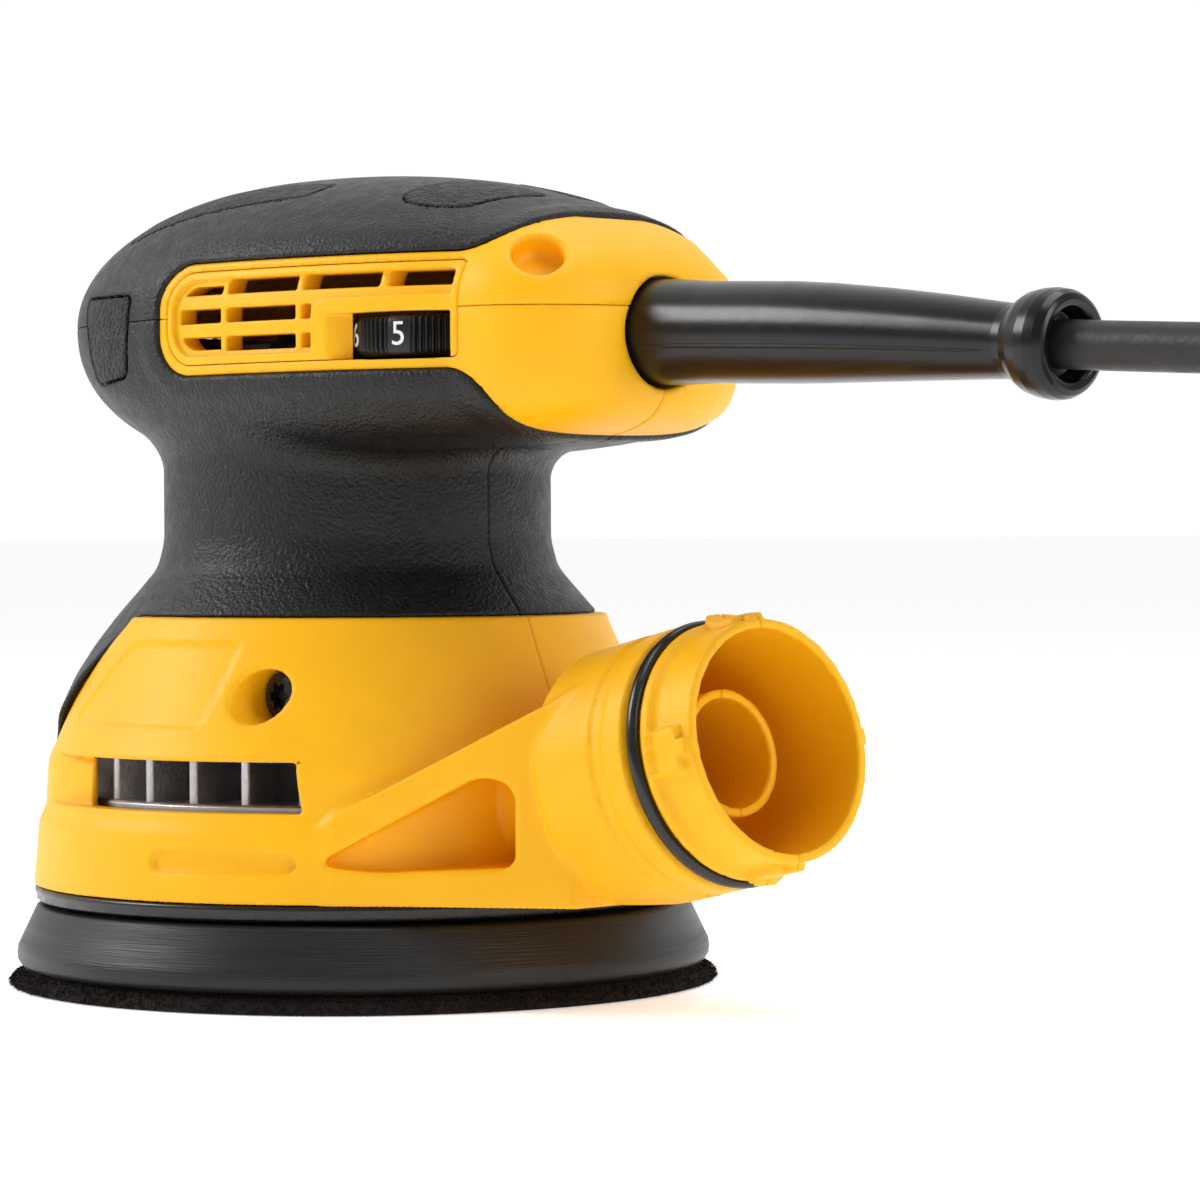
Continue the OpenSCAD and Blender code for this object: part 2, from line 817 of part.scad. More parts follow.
module backing_pad() {
    color("black")
    translate([orbit, 0, 0])
    difference() {
        rotate_extrude($fn = 96) polygon(PAD_PROFILE);
        dust_holes(20);
        for (k = [0:2]) {
            rotate([0, 0, k * 120]) {
                translate([14, 0, 0]) cylinder(r = 2.2, h = 20);
                translate([14, 0, 0]) cylinder(r = 4.2, h = 5.6);
            }
        }
    }
}

module hook_face() {
    color("saddlebrown")
    translate([orbit, 0, 0])
    difference() {
        rotate_extrude($fn = 96) polygon([[0, 0], [pad_r - 0.1, 0], [pad_r, 0.6], [pad_r - 1.2, 1.8],
            [pad_r - 3.9, hook_t], [0, hook_t]]);
        dust_holes(20);
        for (k = [0:2]) {
            rotate([0, 0, k * 120]) translate([14, 0, -1]) cylinder(r = 4.2, h = 20);
        }
    }
}

module pad_screws() {
    color("gray")
    translate([orbit, 0, 0])
    for (k = [0:2]) {
        rotate([0, 0, k * 120]) translate([14, 0, 5.6]) rotate([180, 0, 0]) screw(1.95, 7.6, 3.8, 2);
    }
}

// ---------- fasteners ----------

module housing_screws() {
    color("black")
    translate([screw_x, -36.3, screw_z]) rotate([90, 0, 0]) screw(1.85, 58, 3.6, 2.4);
}

module cover_screws() {
    color("black")
    for (s = [-1, 1]) {
        translate([cover_screw_x, s * cover_screw_y, seam_z + 3.1]) screw(1.4, 1.6, 2.7, 1.8);
    }
}

module plate_screws() {
    color("gray")
    plate_screw_spots() translate([0, 0, plate_z + 4.25]) screw(1.2, 4, 2.1, 1.6);
}

// ---------- mains lead ----------

// round bar swept along a route of points
function unit(v) = v / norm(v);
function tangent(p, k) = unit(p[min(k + 1, len(p) - 1)] - p[max(k - 1, 0)]);
module sweep(route, r, sides = 8) {
    n = len(route);
    rings = [for (k = [0:n - 1])
        let (t = tangent(route, k), a = unit(cross(t, [0.02, 0.03, 1])), b = cross(t, a))
        for (j = [0:sides - 1]) route[k] + r * (cos(j * 360 / sides) * a + sin(j * 360 / sides) * b)];
    side = [for (k = [0:n - 2]) for (j = [0:sides - 1]) for (h = [0, 1])
        let (a = k * sides + j, b = k * sides + (j + 1) % sides)
        h == 0 ? [a, b, b + sides] : [a, b + sides, a + sides]];
    ends = [[for (j = [0:sides - 1]) sides - 1 - j], [for (j = [0:sides - 1]) (n - 1) * sides + j]];
    polyhedron(points = rings, faces = concat(side, ends));
}

// places children on the axis of the strain relief, local +Z out of the tool
module at_relief() {
    translate([relief_x, 0, relief_z]) rotate([0, 90 + relief_droop, 0]) children();
}

module strain_relief() {
    color("black")
    at_relief()
    difference() {
        rotate_extrude() polygon([[0, -20], [4.8, -20], [4.8, -15], [11, -15], [11, -12.2], [8.9, -12],
            [8.7, 0], [8.4, 8], [6.9, 45], [5.2, 74], [5.6, 76], [8.2, 79], [8.6, 82.5],
            [8, relief_len], [0, relief_len]]);
        translate([0, 0, relief_len - 3]) cylinder(r = 5.6, h = 5);
    }
}

module cord_clamp() {
    color("black")
    difference() {
        translate([clamp_x, -10.5, 106]) cube([clamp_t, 21, 11.6]);
        at_relief() translate([0, 0, -60]) cylinder(r = 4.85, h = 60);
        clamp_spots() cylinder(r = 1.5, h = 40, center = true);
    }
}

module clamp_screws() {
    color("gray")
    clamp_spots() screw(1.4, 15, 2.1, 1.8);
}

// pair of insulated wires from the lead to the motor controls
module lead_wires() {
    color("ivory")
    for (s = [-1, 1]) {
        translate([16, s * 1.3 + 0.6, 112.4]) cube([40.9, 1.6, 2]);
    }
}

module cord_lead() {
    color("black") sweep(LEAD_ROUTE, cord_r);
}

module cord_coil() {
    color("black")
    translate([coil_x, coil_y, 0]) tube(coil_r + coil_w / 2, coil_r - coil_w / 2, coil_h);
}

module cord_tail() {
    color("black") sweep(TAIL_ROUTE, cord_r);
}

// strap over the coil, open at the bottom where it is cut flush with the floor
module cord_tie() {
    color("white")
    translate([coil_x, coil_y, 0]) rotate([0, 0, 150]) translate([coil_r, 0, 0])
    difference() {
        translate([-coil_w / 2 - 1, -3.5, 0]) cube([coil_w + 2, 7, coil_h + 1]);
        translate([-coil_w / 2 - 0.2, -4, -1]) cube([coil_w + 0.4, 8, coil_h + 1]);
    }
}

// places children at the end of the lead, local +Z towards the blades
module at_plug() {
    translate(TAIL_ROUTE[len(TAIL_ROUTE) - 1]) rotate([-90, 0, plug_turn]) children();
}

module plug_body() {
    color("black")
    at_plug() {
        cylinder(r = 5.4, h = 9);
        translate([0, 0, 9]) cylinder(r = plug_r, h = plug_len - 9);
    }
}

module plug_blades() {
    color("silver")
    at_plug()
    for (s = [-1, 1]) {
        translate([s * 6.35 / 2 + s * 3.2 - 0.75, -3.2, plug_len]) cube([1.5, 6.4, 16]);
    }
}

// ---------- output ----------

housing_left();
housing_right();
top_cover();
overmold_left();
overmold_right();
top_grip();
grip_pads();
vent_panel_left();
vent_panel_right();
outlet_seal();
brake_ring();
bearing_plate();
lower_bearing();
upper_bearing();
bearing_carrier();
field_laminations();
field_windings();
brush_holders();
brush_left();
brush_right();
brush_spring_left();
brush_spring_right();
speed_module();
speed_dial();
switch_module();
switch_rocker();
armature_shaft();
armature_laminations();
armature_windings();
commutator();
inner_races();
fan();
counterweight();
pad_bearing();
pad_spindle();
backing_pad();
hook_face();
pad_screws();
housing_screws();
cover_screws();
plate_screws();
strain_relief();
cord_clamp();
clamp_screws();
lead_wires();
cord_lead();
cord_coil();
cord_tail();
cord_tie();
plug_body();
plug_blades();
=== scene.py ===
"""Looks of the orbital sander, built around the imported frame.

Shapes are worked out in millimetres in the row frame and become metres when a mesh is made.
The moulded pieces come from distance fields: negative inside, positive outside.
"""

import itertools
import json
import math

import bmesh
import bpy
import numpy as np
from mathutils import Matrix, Vector


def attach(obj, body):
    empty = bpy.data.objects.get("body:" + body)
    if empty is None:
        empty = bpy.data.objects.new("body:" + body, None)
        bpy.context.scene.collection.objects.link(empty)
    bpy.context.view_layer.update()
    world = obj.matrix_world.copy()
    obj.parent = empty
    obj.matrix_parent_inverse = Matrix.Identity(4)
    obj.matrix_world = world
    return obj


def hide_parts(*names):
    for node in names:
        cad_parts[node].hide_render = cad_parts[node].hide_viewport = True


MM = 0.001
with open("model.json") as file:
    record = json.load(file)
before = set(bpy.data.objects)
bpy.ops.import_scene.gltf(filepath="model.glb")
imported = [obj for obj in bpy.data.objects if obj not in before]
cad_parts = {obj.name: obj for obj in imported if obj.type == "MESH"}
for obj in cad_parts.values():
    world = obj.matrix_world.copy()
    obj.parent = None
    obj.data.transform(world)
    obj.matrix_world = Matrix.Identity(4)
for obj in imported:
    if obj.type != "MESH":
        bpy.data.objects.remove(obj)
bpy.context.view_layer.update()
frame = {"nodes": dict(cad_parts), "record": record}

# ---------- driving dimensions, as in part.scad ----------

ORBIT = 1.2  # offset of the pad's axis from the motor's
SHROUD_Z = 17.5  # lower edge of the hard shroud
CONE_Z = 64.45  # where the rubber of the neck begins
SEAM_Z = 115.5  # seam between the lower halves and the cover
SKIN = 1.5  # thickness of the rubber
RIM = 0.55  # how far the rubber stands proud beside the plastic
SHELL = 4.1  # plastic and rubber together
OUT_X, OUT_Z, OUT_TILT = 102.65, 45.3, math.radians(12.6)
BARREL_BACK = -36.0
DUCT_DEG = 54.9
DIAL = (43.0, -18.4, 111.2)
DIAL_R = 15.4
SCREW = (24.0, -36.4, 51.5)  # floor of the clamshell screw's recess
WELL = (69.3, 21.0, 125.1)  # pit over a cover screw, and the way it faces
WELL_DIR = (0.51, 0.41, 0.756)
PIT_R, PIT_DEPTH = 4.4, 5.5
RELIEF_X, RELIEF_Z, RELIEF_LEAN = 77.0, 111.4, math.radians(3.3)
PAD_TOP = 122.0  # the crown's inlays lie above this height
PAD_SIDE = 20.0  # and the side inlays outside this distance
CORD_R = 3.75
COIL = (297.0, 5.5)
BLADES = 30


# ---------- field helpers ----------

def join(a, b, r=0.0):
    """Union of two fields with a concave fillet of radius r."""
    if r == 0:
        return np.minimum(a, b)
    return np.maximum(r, np.minimum(a, b)) - np.hypot(np.maximum(r - a, 0), np.maximum(r - b, 0))


def meet(a, b, r=0.0):
    """Intersection of two fields with its edge rounded to radius r."""
    return -join(-a, -b, r)


def cut(a, b, r=0.0):
    """a without b."""
    return meet(a, -b, r)


def soft(v):
    """Smooth step from 0 to 1."""
    v = np.clip(v, 0, 1)
    return v * v * (3 - 2 * v)


def sunk(d, shape, depth, width=0.7):
    """Surface pressed in by depth inside a shape, with sloping walls of the given width."""
    return d + depth * soft(0.5 - shape / width)


def box2(u, v, u0, u1, v0, v1, r):
    """Rectangle u0..u1, v0..v1 with corner radius r."""
    du = np.abs(u - (u0 + u1) / 2) - (u1 - u0) / 2 + r
    dv = np.abs(v - (v0 + v1) / 2) - (v1 - v0) / 2 + r
    return np.hypot(np.maximum(du, 0), np.maximum(dv, 0)) + np.minimum(np.maximum(du, dv), 0) - r


def poly2(u, v, points, r=0.0):
    """Convex polygon, corners listed anticlockwise, rounded to radius r."""
    d = None
    for k, (u0, v0) in enumerate(points):
        u1, v1 = points[(k + 1) % len(points)]
        length = math.hypot(u1 - u0, v1 - v0)
        side = ((u - u0) * (v1 - v0) - (v - v0) * (u1 - u0)) / length
        d = side if d is None else meet(d, side, r)
    return d


def turned(radius, z, profile):
    """Body of revolution given as (radius, height) pairs from the bottom up."""
    rr = np.array([p[0] for p in profile], float)
    zz = np.array([p[1] for p in profile], float)
    slope = np.gradient(rr, zz)
    lean = np.sqrt(1 + np.interp(z, zz, slope) ** 2)
    return (radius - np.interp(z, zz, rr)) / lean


def smooth_profile(points, step=0.4, width=3):
    """The same profile with its corners softened."""
    zz = np.arange(points[0][1], points[-1][1] + step, step)
    rr = np.interp(zz, [p[1] for p in points], [p[0] for p in points])
    padded = np.pad(rr, width, mode="edge")
    kernel = np.ones(2 * width + 1) / (2 * width + 1)
    return list(zip(np.convolve(padded, kernel, "valid"), zz, strict=True))


# ---------- palm grip ----------

def grip_level(x, y, z):
    """Implicit form of the grip in part.scad: 0 on the surface."""
    dx = x + 2
    front = dx < 0
    a = np.where(front, 52.0, 80.0)
    n = np.where(front, 2.5, 2.2 + 0.6 * soft((np.abs(dx) / a - 0.7) / 0.2))
    u = (np.abs(dx) / a + 1e-9) ** n
    s_n = u + (np.abs(y) / 40) ** n
    c = np.sign(dx) * np.sqrt(u / s_n)
    w = ((1 + c) / 2) ** 1.4
    up = z >= SEAM_Z
    p = np.where(up, 2 + 0.15 * w, 2 + 3.8 * w)
    h = np.where(up, 25.75, 26.5 - 4.2 * w)
    return (s_n ** (p / n) + (np.abs(z - SEAM_Z) / h) ** p) ** (1 / p) - 1


def grip_field(x, y, z):
    """Distance to the grip, to first order."""
    e = 0.3
    f = grip_level(x, y, z)
    gx = grip_level(x + e, y, z) - f
    gy = grip_level(x, y + e, z) - f
    gz = grip_level(x, y, z + e) - f
    g = np.sqrt(gx * gx + gy * gy + gz * gz) / e
    return f / np.maximum(g, 0.006)


def hard_outline(x, z):
    """Side view of the plastic that the rubber leaves free: the band and the rear cap."""
    band = box2(x, z, -5.4, 160, 105.7, 124.7, 7)
    return join(band, 64.4 - x, 9)


# ---------- shroud, duct and outlet ----------

HARD_PROFILE = smooth_profile([(57.3, 10), (57.3, 18), (56.35, 29.3), (55.2, 31), (54.7, 39.6), (53.2, 42.6),
                               (51.9, 45.6), (43.9, 64.2), (43.7, 70), (43.7, 80)])
SKIN_PROFILE = smooth_profile([(56.2, 29), (55.2, 32.6), (54.8, 39), (53.3, 43.6), (52.8, 47.6), (49.8, 54),
                               (46.4, 59.3), (42.4, 64.5), (37.8, 69.8), (35.4, 72.7), (34.2, 77.4),
                               (34.2, 104)])
BARREL_PROFILE = [(22, -40), (22, -21.7), (21.5, -21.2), (21.5, -18.9), (21.95, -18.4), (21.95, -14.2),
                  (20.3, -13.5), (20.3, -10.7), (21.15, -10.1), (21.15, -8.7), (20.3, -8.1), (19.9, -7.3),
                  (19.9, 1)]
DUCT_N = (math.cos(math.radians(DUCT_DEG)), math.sin(math.radians(DUCT_DEG)))


def outlet_frame(x, y, z):
    """Distance along the outlet's axis, radius from it, and height over it."""
    c, s = math.cos(OUT_TILT), math.sin(OUT_TILT)
    u = (x - OUT_X) * c + (z - OUT_Z) * s
    v = -(x - OUT_X) * s + (z - OUT_Z) * c
    return u, np.hypot(y, v), v


def outlet_point(u, r, angle):
    """Point at u along the outlet's axis, r from it, at an angle round it."""
    c, s = math.cos(OUT_TILT), math.sin(OUT_TILT)
    v = r * math.sin(angle)
    return (OUT_X + u * c - v * s, -r * math.cos(angle), OUT_Z + u * s + v * c)


def barrel(x, y, z):
    """Outer skin of the outlet, with its O-ring groove, flange and four lugs."""
    u, r, v = outlet_frame(x, y, z)
    across = np.minimum(np.abs(y), np.abs(v))
    lug = soft((3.65 - across) / 0.5 + 0.5) * soft((-2.4 - u) / 0.5 + 0.5)
    pin = soft((1.5 - across) / 0.5 + 0.5) * soft((-0.6 - u) / 0.5 + 0.5)
    raised = 1.25 * np.maximum(lug, pin) * soft((u + 8.8) / 0.5)
    d = turned(r, u, BARREL_PROFILE) - raised
    d = meet(d, BARREL_BACK - u, 2.4)
    return meet(d, u, 0.3)


def outlet_hollow(x, y, z):
    """The cup inside the mouth, round a recessed inner tube, and the tube's bore."""
    u, r, _ = outlet_frame(x, y, z)
    cup = meet(r - 18.45, -30 - u, 1)
    tube = meet(meet(r - 10.5, u + 11, 0.35), -40 - u)
    bore = meet(r - 9.1, -60 - u)
    return join(cut(cup, tube), bore, 0.3)


def duct(x, y, z):
    """Wedge that leads the dust to the outlet, with a triangular pocket in each side."""
    ay = np.abs(y)
    slope = 0.63
    side = x * DUCT_N[0] + ay * DUCT_N[1] - 56
    along = x * DUCT_N[1] - ay * DUCT_N[0]
    rise = (z - 7.6 - slope * x) / math.hypot(1, slope)
    d = meet(meet(side, rise, 1.3), meet(x - 73, SHROUD_Z - 4 - z), 0.5)
    d = meet(d, 7 - along, 3)
    core_r = outlet_frame(x, y, z)[1]
    pocket = poly2(along, z, [(6.4, 24.4), (12, 22.8), (39.9, 24), (39.9, 37.2), (34.4, 39.3)], 2.2)
    pocket = meet(meet(pocket, 54.0 - np.hypot(x, y), 0.6), 14.5 - core_r, 0.6)
    return d, pocket


def shroud(x, y, z):
    """Hard plastic below the rubber: cone and band, dust duct and outlet."""
    label = poly2(x, z, [(-20.6, 46.4), (16.0, 46.4), (18.4, 60.3), (-6.4, 60.3)], 1.6)
    slot = box2(x, z, 11.0, 35.0, 22.6, 25.9, 1.6)
    cone = turned(np.hypot(x, y), z, HARD_PROFILE)
    cone = sunk(sunk(cone, label, 0.45, 0.9), slot, 0.9, 0.9)
    cone = meet(cone, meet(z - CONE_Z, SHROUD_Z - z), 0.5)
    wedge, pocket = duct(x, y, z)
    wedge = sunk(wedge, slot, 0.9, 0.9)
    d = cut(join(cone, wedge, 2.4), pocket, 0.8)
    return meet(join(d, barrel(x, y, z), 1.0), SHROUD_Z - z, 0.5)


def bib_zone(x, z):
    """Front of the shroud that the rubber bib covers."""
    slope = 0.8235
    line = (64 + slope * (x + 10.3) - z) / math.hypot(1, slope)
    return meet(line, 31 - z, 2.0)


def envelope(x, y, z):
    """Outer surface of neck, bib and grip, whatever they are made of."""
    neck = meet(turned(np.hypot(x, y), z, SKIN_PROFILE), np.maximum(29 - z, z - 108))
    outside = hard_outline(x, z)
    rim = soft((outside + 0.2) / 1.2) * soft((7.5 - outside) / 4.5)
    return join(neck, grip_field(x, y, z) - RIM * rim, 4.5)


def soft_zone(x, z):
    """Where the soft skin lies: the neck, the bib, and the grip outside the hard band."""
    return meet(join(CONE_Z + 0.1 - z, bib_zone(x, z)), -hard_outline(x, z))


# ---------- features ----------

def relief_axis(x, y, z):
    """Distance along and from the axis of the strain relief."""
    c, s = math.cos(RELIEF_LEAN), math.sin(RELIEF_LEAN)
    u = (x - RELIEF_X) * c - (z - RELIEF_Z) * s
    v = (x - RELIEF_X) * s + (z - RELIEF_Z) * c
    return u, np.hypot(y, v)


def panel_outline(x, z, inset=0.0):
    """Side view of a louvred panel."""
    left = box2(x, z, -3.4 + inset, 90, 107.3 + inset, 123.3 - inset, 5.8 - inset * 0.6)
    return meet(left, x - 58.5 + inset, 1.2)


def fan_window(x, y, z, skin):
    """Cooling window with a slanted right edge, and the ramp that leads into it from the left."""
    right = (x - 34.8 + (z - 32.4) * 0.17) / 1.014
    height = meet(32.4 - z, z - 40.9)
    hole = meet(meet(-10.5 - x, right, 0.3), height, 0.8)
    hole = meet(hole, 36 - np.abs(y))
    ramp = meet(meet(-26 - x, x + 9), height, 0.4)
    ramp = meet(ramp, -(skin + np.clip((x + 25) / 14 * 2.8, 0, 2.8)))
    return join(hole, ramp)


def hard_body(x, y, z):
    """The hard plastic of the housing and the cover in one piece."""
    radius = np.hypot(x, y)
    low = shroud(x, y, z)
    outer = envelope(x, y, z)
    high = meet(outer, CONE_Z - 4 - z)
    d = cut(join(low, high), meet(soft_zone(x, z), -SKIN - outer), 0.3)
    # hollow
    cone = turned(radius, z, HARD_PROFILE)
    chamber = meet(meet(cone + 2.6, z - 61.8), radius - 51)
    groove = meet(radius - 53.8, z - 21.6)
    shaft = meet(radius - 30.1, np.abs(z - 66) - 12)
    inner = join(join(chamber, groove), join(outer + SHELL, shaft))
    u, r, _ = outlet_frame(x, y, z)
    inner = meet(inner, -meet(r - 10.9, -62 - u))
    # screw collar and cover screw wells
    screw = np.hypot(x - SCREW[0], z - SCREW[2])
    wells = np.hypot(x - WELL[0], np.abs(y) - WELL[1])
    boss = join(meet(screw - 6.4, y + 32), meet(wells - 9, 112 - z))
    inner = meet(inner, -boss)
    d = cut(d, inner, 0.3)
    d = cut(d, meet(screw - 4.6, y - SCREW[1], 0.4), 0.6)
    d = cut(d, cover_pit(x, y, z), 0.8)
    # openings
    d = cut(d, outlet_hollow(x, y, z), 0.3)
    d = cut(d, fan_window(x, y, z, low), 0.35)
    u, r = relief_axis(x, y, z)
    d = cut(d, meet(r - 9.25, -16 - u), 0.7)
    d = cut(d, meet(panel_outline(x, z), 18 - np.abs(y)), 0.25)
    d = cut(d, meet(np.hypot(x - DIAL[0], y - DIAL[1]) - DIAL_R - 0.5, np.abs(z - DIAL[2]) - 4.0))
    return cut(d, rocker_opening(x, y, z), 0.3)


def cover_pit(x, y, z):
    """Round pits over the cover screws, square to the surface."""
    ax, ay, az = x - WELL[0], np.abs(y) - WELL[1], z - WELL[2]
    depth = ax * WELL_DIR[0] + ay * WELL_DIR[1] + az * WELL_DIR[2]
    off = np.sqrt(np.maximum(ax * ax + ay * ay + az * az - depth * depth, 0))
    return meet(off - PIT_R, -PIT_DEPTH - depth, 1.5)


def rocker_opening(x, y, z):
    """Opening at the nose for the power rocker."""
    return meet(box2(y, z, -11.4, 11.4, 100.7, 115.3, 2.0), x + 38)


def rubber_body(x, y, z):
    """The soft skin on neck, grip and bib in one piece."""
    outer = envelope(x, y, z)
    zone = soft_zone(x, z)
    ay = np.abs(y)
    pads = meet(side_pad(x, z, 0.35), PAD_SIDE - ay)
    for shape in (top_pad_rear, top_pad_front):
        pads = join(pads, meet(shape(x, ay, 0.35), PAD_TOP - z))
    face = sunk(outer, pads, 1.0, 0.5)
    d = meet(meet(face, -(outer + SKIN), 0.2), zone + 0.12, 0.55)
    return cut(d, rocker_opening(x, y, z), 0.7)


# ---------- textured pads in the rubber ----------

def side_pad(x, z, grow=0.0):
    """Outline of the inlay on each side of the nose."""
    return poly2(x, z, [(-28.2, 105.0), (-16.2, 106.2), (-14.6, 119.9), (-31.6, 120.1)], 1.6) - grow


def top_pad_rear(x, y, grow=0.0):
    """Outline of the inlay on each side of the crown, towards the cord."""
    return poly2(x, y, [(36.0, 4.5), (53.0, 3.5), (49.5, 19.2), (39.8, 22.6), (35.2, 20.4)], 2.0) - grow


def top_pad_front(x, y, grow=0.0):
    """Outline of the long inlay on each side of the crown."""
    corners = [(-27.5, 20.0), (-8.5, 15.5), (15.5, 17.5), (13.5, 24.6), (-8.5, 28.2), (-25.5, 31.4)]
    return poly2(x, y, corners, 2.0) - grow


def pad_field(x, y, z):
    """The inlaid pads: thin pieces set in the recesses of the skin."""
    e = envelope(x, y, z)
    ay = np.abs(y)
    slab = meet(e - 0.1, -0.85 - e, 0.3)
    side = meet(slab, meet(side_pad(x, z, -0.12), PAD_SIDE - ay), 0.3)
    rear = meet(slab, meet(top_pad_rear(x, ay, -0.12), PAD_TOP - z), 0.3)
    front = meet(slab, meet(top_pad_front(x, ay, -0.12), PAD_TOP - z), 0.3)
    return join(side, join(rear, front))


# ---------- side panels ----------

ROWS = (109.6, 114.4, 119.2)
ROW_H = 2.5
TOP_EDGES = (-1.6, 10.5, 27.8, 44.3, 57.6)
BAY_X = 30.6  # the dial's bay starts here


def panel_field(x, y, z, with_dial):
    """Louvred side panel on the +Y side; with_dial adds the frame round the speed dial."""
    e = grip_field(x, y, z)
    d = meet(meet(e - 0.02, -(e + 4.6), 0.3), meet(panel_outline(x, z, 0.12), 18 - y), 0.35)
    tray = meet(panel_outline(x, z, 1.5), -0.8 - e, 0.2)
    if with_dial:
        tray = cut(tray, box2(x, z, 31.2, 80, 100, 117.7, 3.0), 0.3)
    d = cut(d, tray, 0.3)
    for k, low in enumerate(ROWS):
        for c in range(4):
            a, b = TOP_EDGES[c] + 0.6, TOP_EDGES[c + 1] - 0.6
            if with_dial and k < 2:
                if c == 3:
                    continue
                if c == 2:
                    b = BAY_X
            row = box2(x, z, a, b, low, low + ROW_H, 0.5)
            if c == 0:
                row = meet(row, panel_outline(x, z, 2.6))
            d = cut(d, row, 0.3)
    if with_dial:
        left = (34.4 + np.clip(-e, 0, 6) * 1.25) - x
        hole = meet(meet(left, x - 57.0, 0.6), meet(107.5 - z, z - 115.0), 0.6)
        d = cut(d, hole, 0.35)
        wheel = np.hypot(x - DIAL[0], y + DIAL[1]) - DIAL_R - 0.5
        d = cut(d, meet(wheel, np.abs(z - DIAL[2]) - 3.9))
    return d


# ---------- meshing ----------

CORNERS = list(itertools.product((0, 1), repeat=3))


def normals_of(field, p, e=0.02):
    """Unit gradient of a field at the points p."""
    x, y, z = p[:, 0], p[:, 1], p[:, 2]
    f = field(x, y, z)
    g = np.stack([field(x + e, y, z) - f, field(x, y + e, z) - f, field(x, y, z + e) - f], axis=1)
    return g / np.maximum(np.linalg.norm(g, axis=1, keepdims=True), 1e-9)


def sample(field, lo, hi, step, ratio=4):
    """Field values on a grid; only the cells near the surface are worked out finely."""
    count = [int(math.ceil((hi[i] - lo[i]) / (step * ratio))) for i in range(3)]
    coarse = [lo[i] + step * ratio * np.arange(count[i] + 1) for i in range(3)]
    cx, cy, cz = np.meshgrid(*coarse, indexing="ij")
    rough = field(cx.ravel(), cy.ravel(), cz.ravel()).reshape(cx.shape)
    reach = step * ratio * 1.25
    near = np.abs(rough) < reach
    cell = np.zeros(count, bool)
    for i, j, k in CORNERS:
        cell |= near[i:count[0] + i, j:count[1] + j, k:count[2] + k]
    fine = [lo[i] + step * np.arange(count[i] * ratio + 1) for i in range(3)]
    values = np.full([len(a) for a in fine], 9.0, np.float32)
    low = rough[:-1, :-1, :-1]
    block = np.where(low < 0, -9.0, 9.0).astype(np.float32)
    values[:-1, :-1, :-1] = block.repeat(ratio, 0).repeat(ratio, 1).repeat(ratio, 2)
    mask = np.zeros(values.shape, bool)
    big = cell.repeat(ratio, 0).repeat(ratio, 1).repeat(ratio, 2)
    for i, j, k in CORNERS:
        mask[i:big.shape[0] + i, j:big.shape[1] + j, k:big.shape[2] + k] |= big
    at = np.nonzero(mask)
    x, y, z = (fine[i][at[i]] for i in range(3))
    values[at] = field(x, y, z)
    return values


def crossing(field, lo, step, edges, axis, va, vb):
    """Where along each grid edge, from 0 to 1, the field changes sign."""
    t0, t1 = np.zeros(len(edges)), np.ones(len(edges))
    for _ in range(4):
        t = t0 + (t1 - t0) * np.clip(va / (va - vb), 0.12, 0.88)
        at = np.array(lo) + step * edges.astype(float)
        at[:, axis] += step * t
        v = field(at[:, 0], at[:, 1], at[:, 2])
        same = (v < 0) == (va < 0)
        t0, va = np.where(same, t, t0), np.where(same, v, va)
        t1, vb = np.where(same, t1, t), np.where(same, vb, v)
    return t0 + (t1 - t0) * va / (va - vb)


def carve(field, lo, hi, step):
    """Dual contouring: one vertex in each crossed cell, one quad for each crossed edge of the grid."""
    values = sample(field, lo, hi, step)
    inside = values < 0
    shape = [n - 1 for n in values.shape]
    total = np.zeros(shape, np.int8)
    for i, j, k in CORNERS:
        total += inside[i:shape[0] + i, j:shape[1] + j, k:shape[2] + k]
    cells = np.argwhere((total > 0) & (total < 8))
    index = np.full(shape, -1, np.int64)
    index[tuple(cells.T)] = np.arange(len(cells))
    quads, points, owners = [], [], []
    for axis in range(3):
        here = np.take(inside, range(0, values.shape[axis] - 1), axis)
        there = np.take(inside, range(1, values.shape[axis]), axis)
        edges = np.argwhere(here != there)
        p, q = [(1, 2), (2, 0), (0, 1)][axis]
        keep = (edges[:, p] > 0) & (edges[:, q] > 0)
        keep &= (edges[:, p] < shape[p]) & (edges[:, q] < shape[q])
        edges = edges[keep]
        ends = edges.copy()
        ends[:, axis] += 1
        va = values[tuple(edges.T)].astype(float)
        vb = values[tuple(ends.T)].astype(float)
        point = edges.astype(float)
        point[:, axis] += crossing(field, lo, step, edges, axis, va, vb)
        ring = []
        for dp, dq in ((-1, -1), (0, -1), (0, 0), (-1, 0)):
            at = edges.copy()
            at[:, p] += dp
            at[:, q] += dq
            ring.append(index[tuple(at.T)])
        ring = np.stack(ring, 1)
        owners.append(ring)
        points.append(point)
        ring = ring.copy()
        flip = ~here[tuple(edges.T)]
        ring[flip] = ring[flip][:, ::-1]
        quads.append(ring)
    point = np.concatenate(points)
    owner = np.concatenate(owners)
    normal = normals_of(field, np.array(lo) + step * point)
    n = len(cells)

    def gather(v):
        return sum(np.bincount(owner[:, c], v, n) for c in range(4))

    count = np.maximum(gather(np.ones(len(point))), 1)
    middle = np.stack([gather(point[:, i]) for i in range(3)], 1) / count[:, None]
    offset = (normal * point).sum(1)
    square = np.empty((n, 3, 3))
    right = np.empty((n, 3))
    for i in range(3):
        right[:, i] = gather(normal[:, i] * offset)
        for j in range(i, 3):
            square[:, i, j] = square[:, j, i] = gather(normal[:, i] * normal[:, j])
    right -= np.einsum("nij,nj->ni", square, middle)
    square += np.eye(3) * 0.06 * count[:, None, None]
    move = np.linalg.solve(square, right[:, :, None])[:, :, 0]
    where = np.clip(middle + move, cells + 0.02, cells + 0.98)
    return np.array(lo) + step * where, np.concatenate(quads)


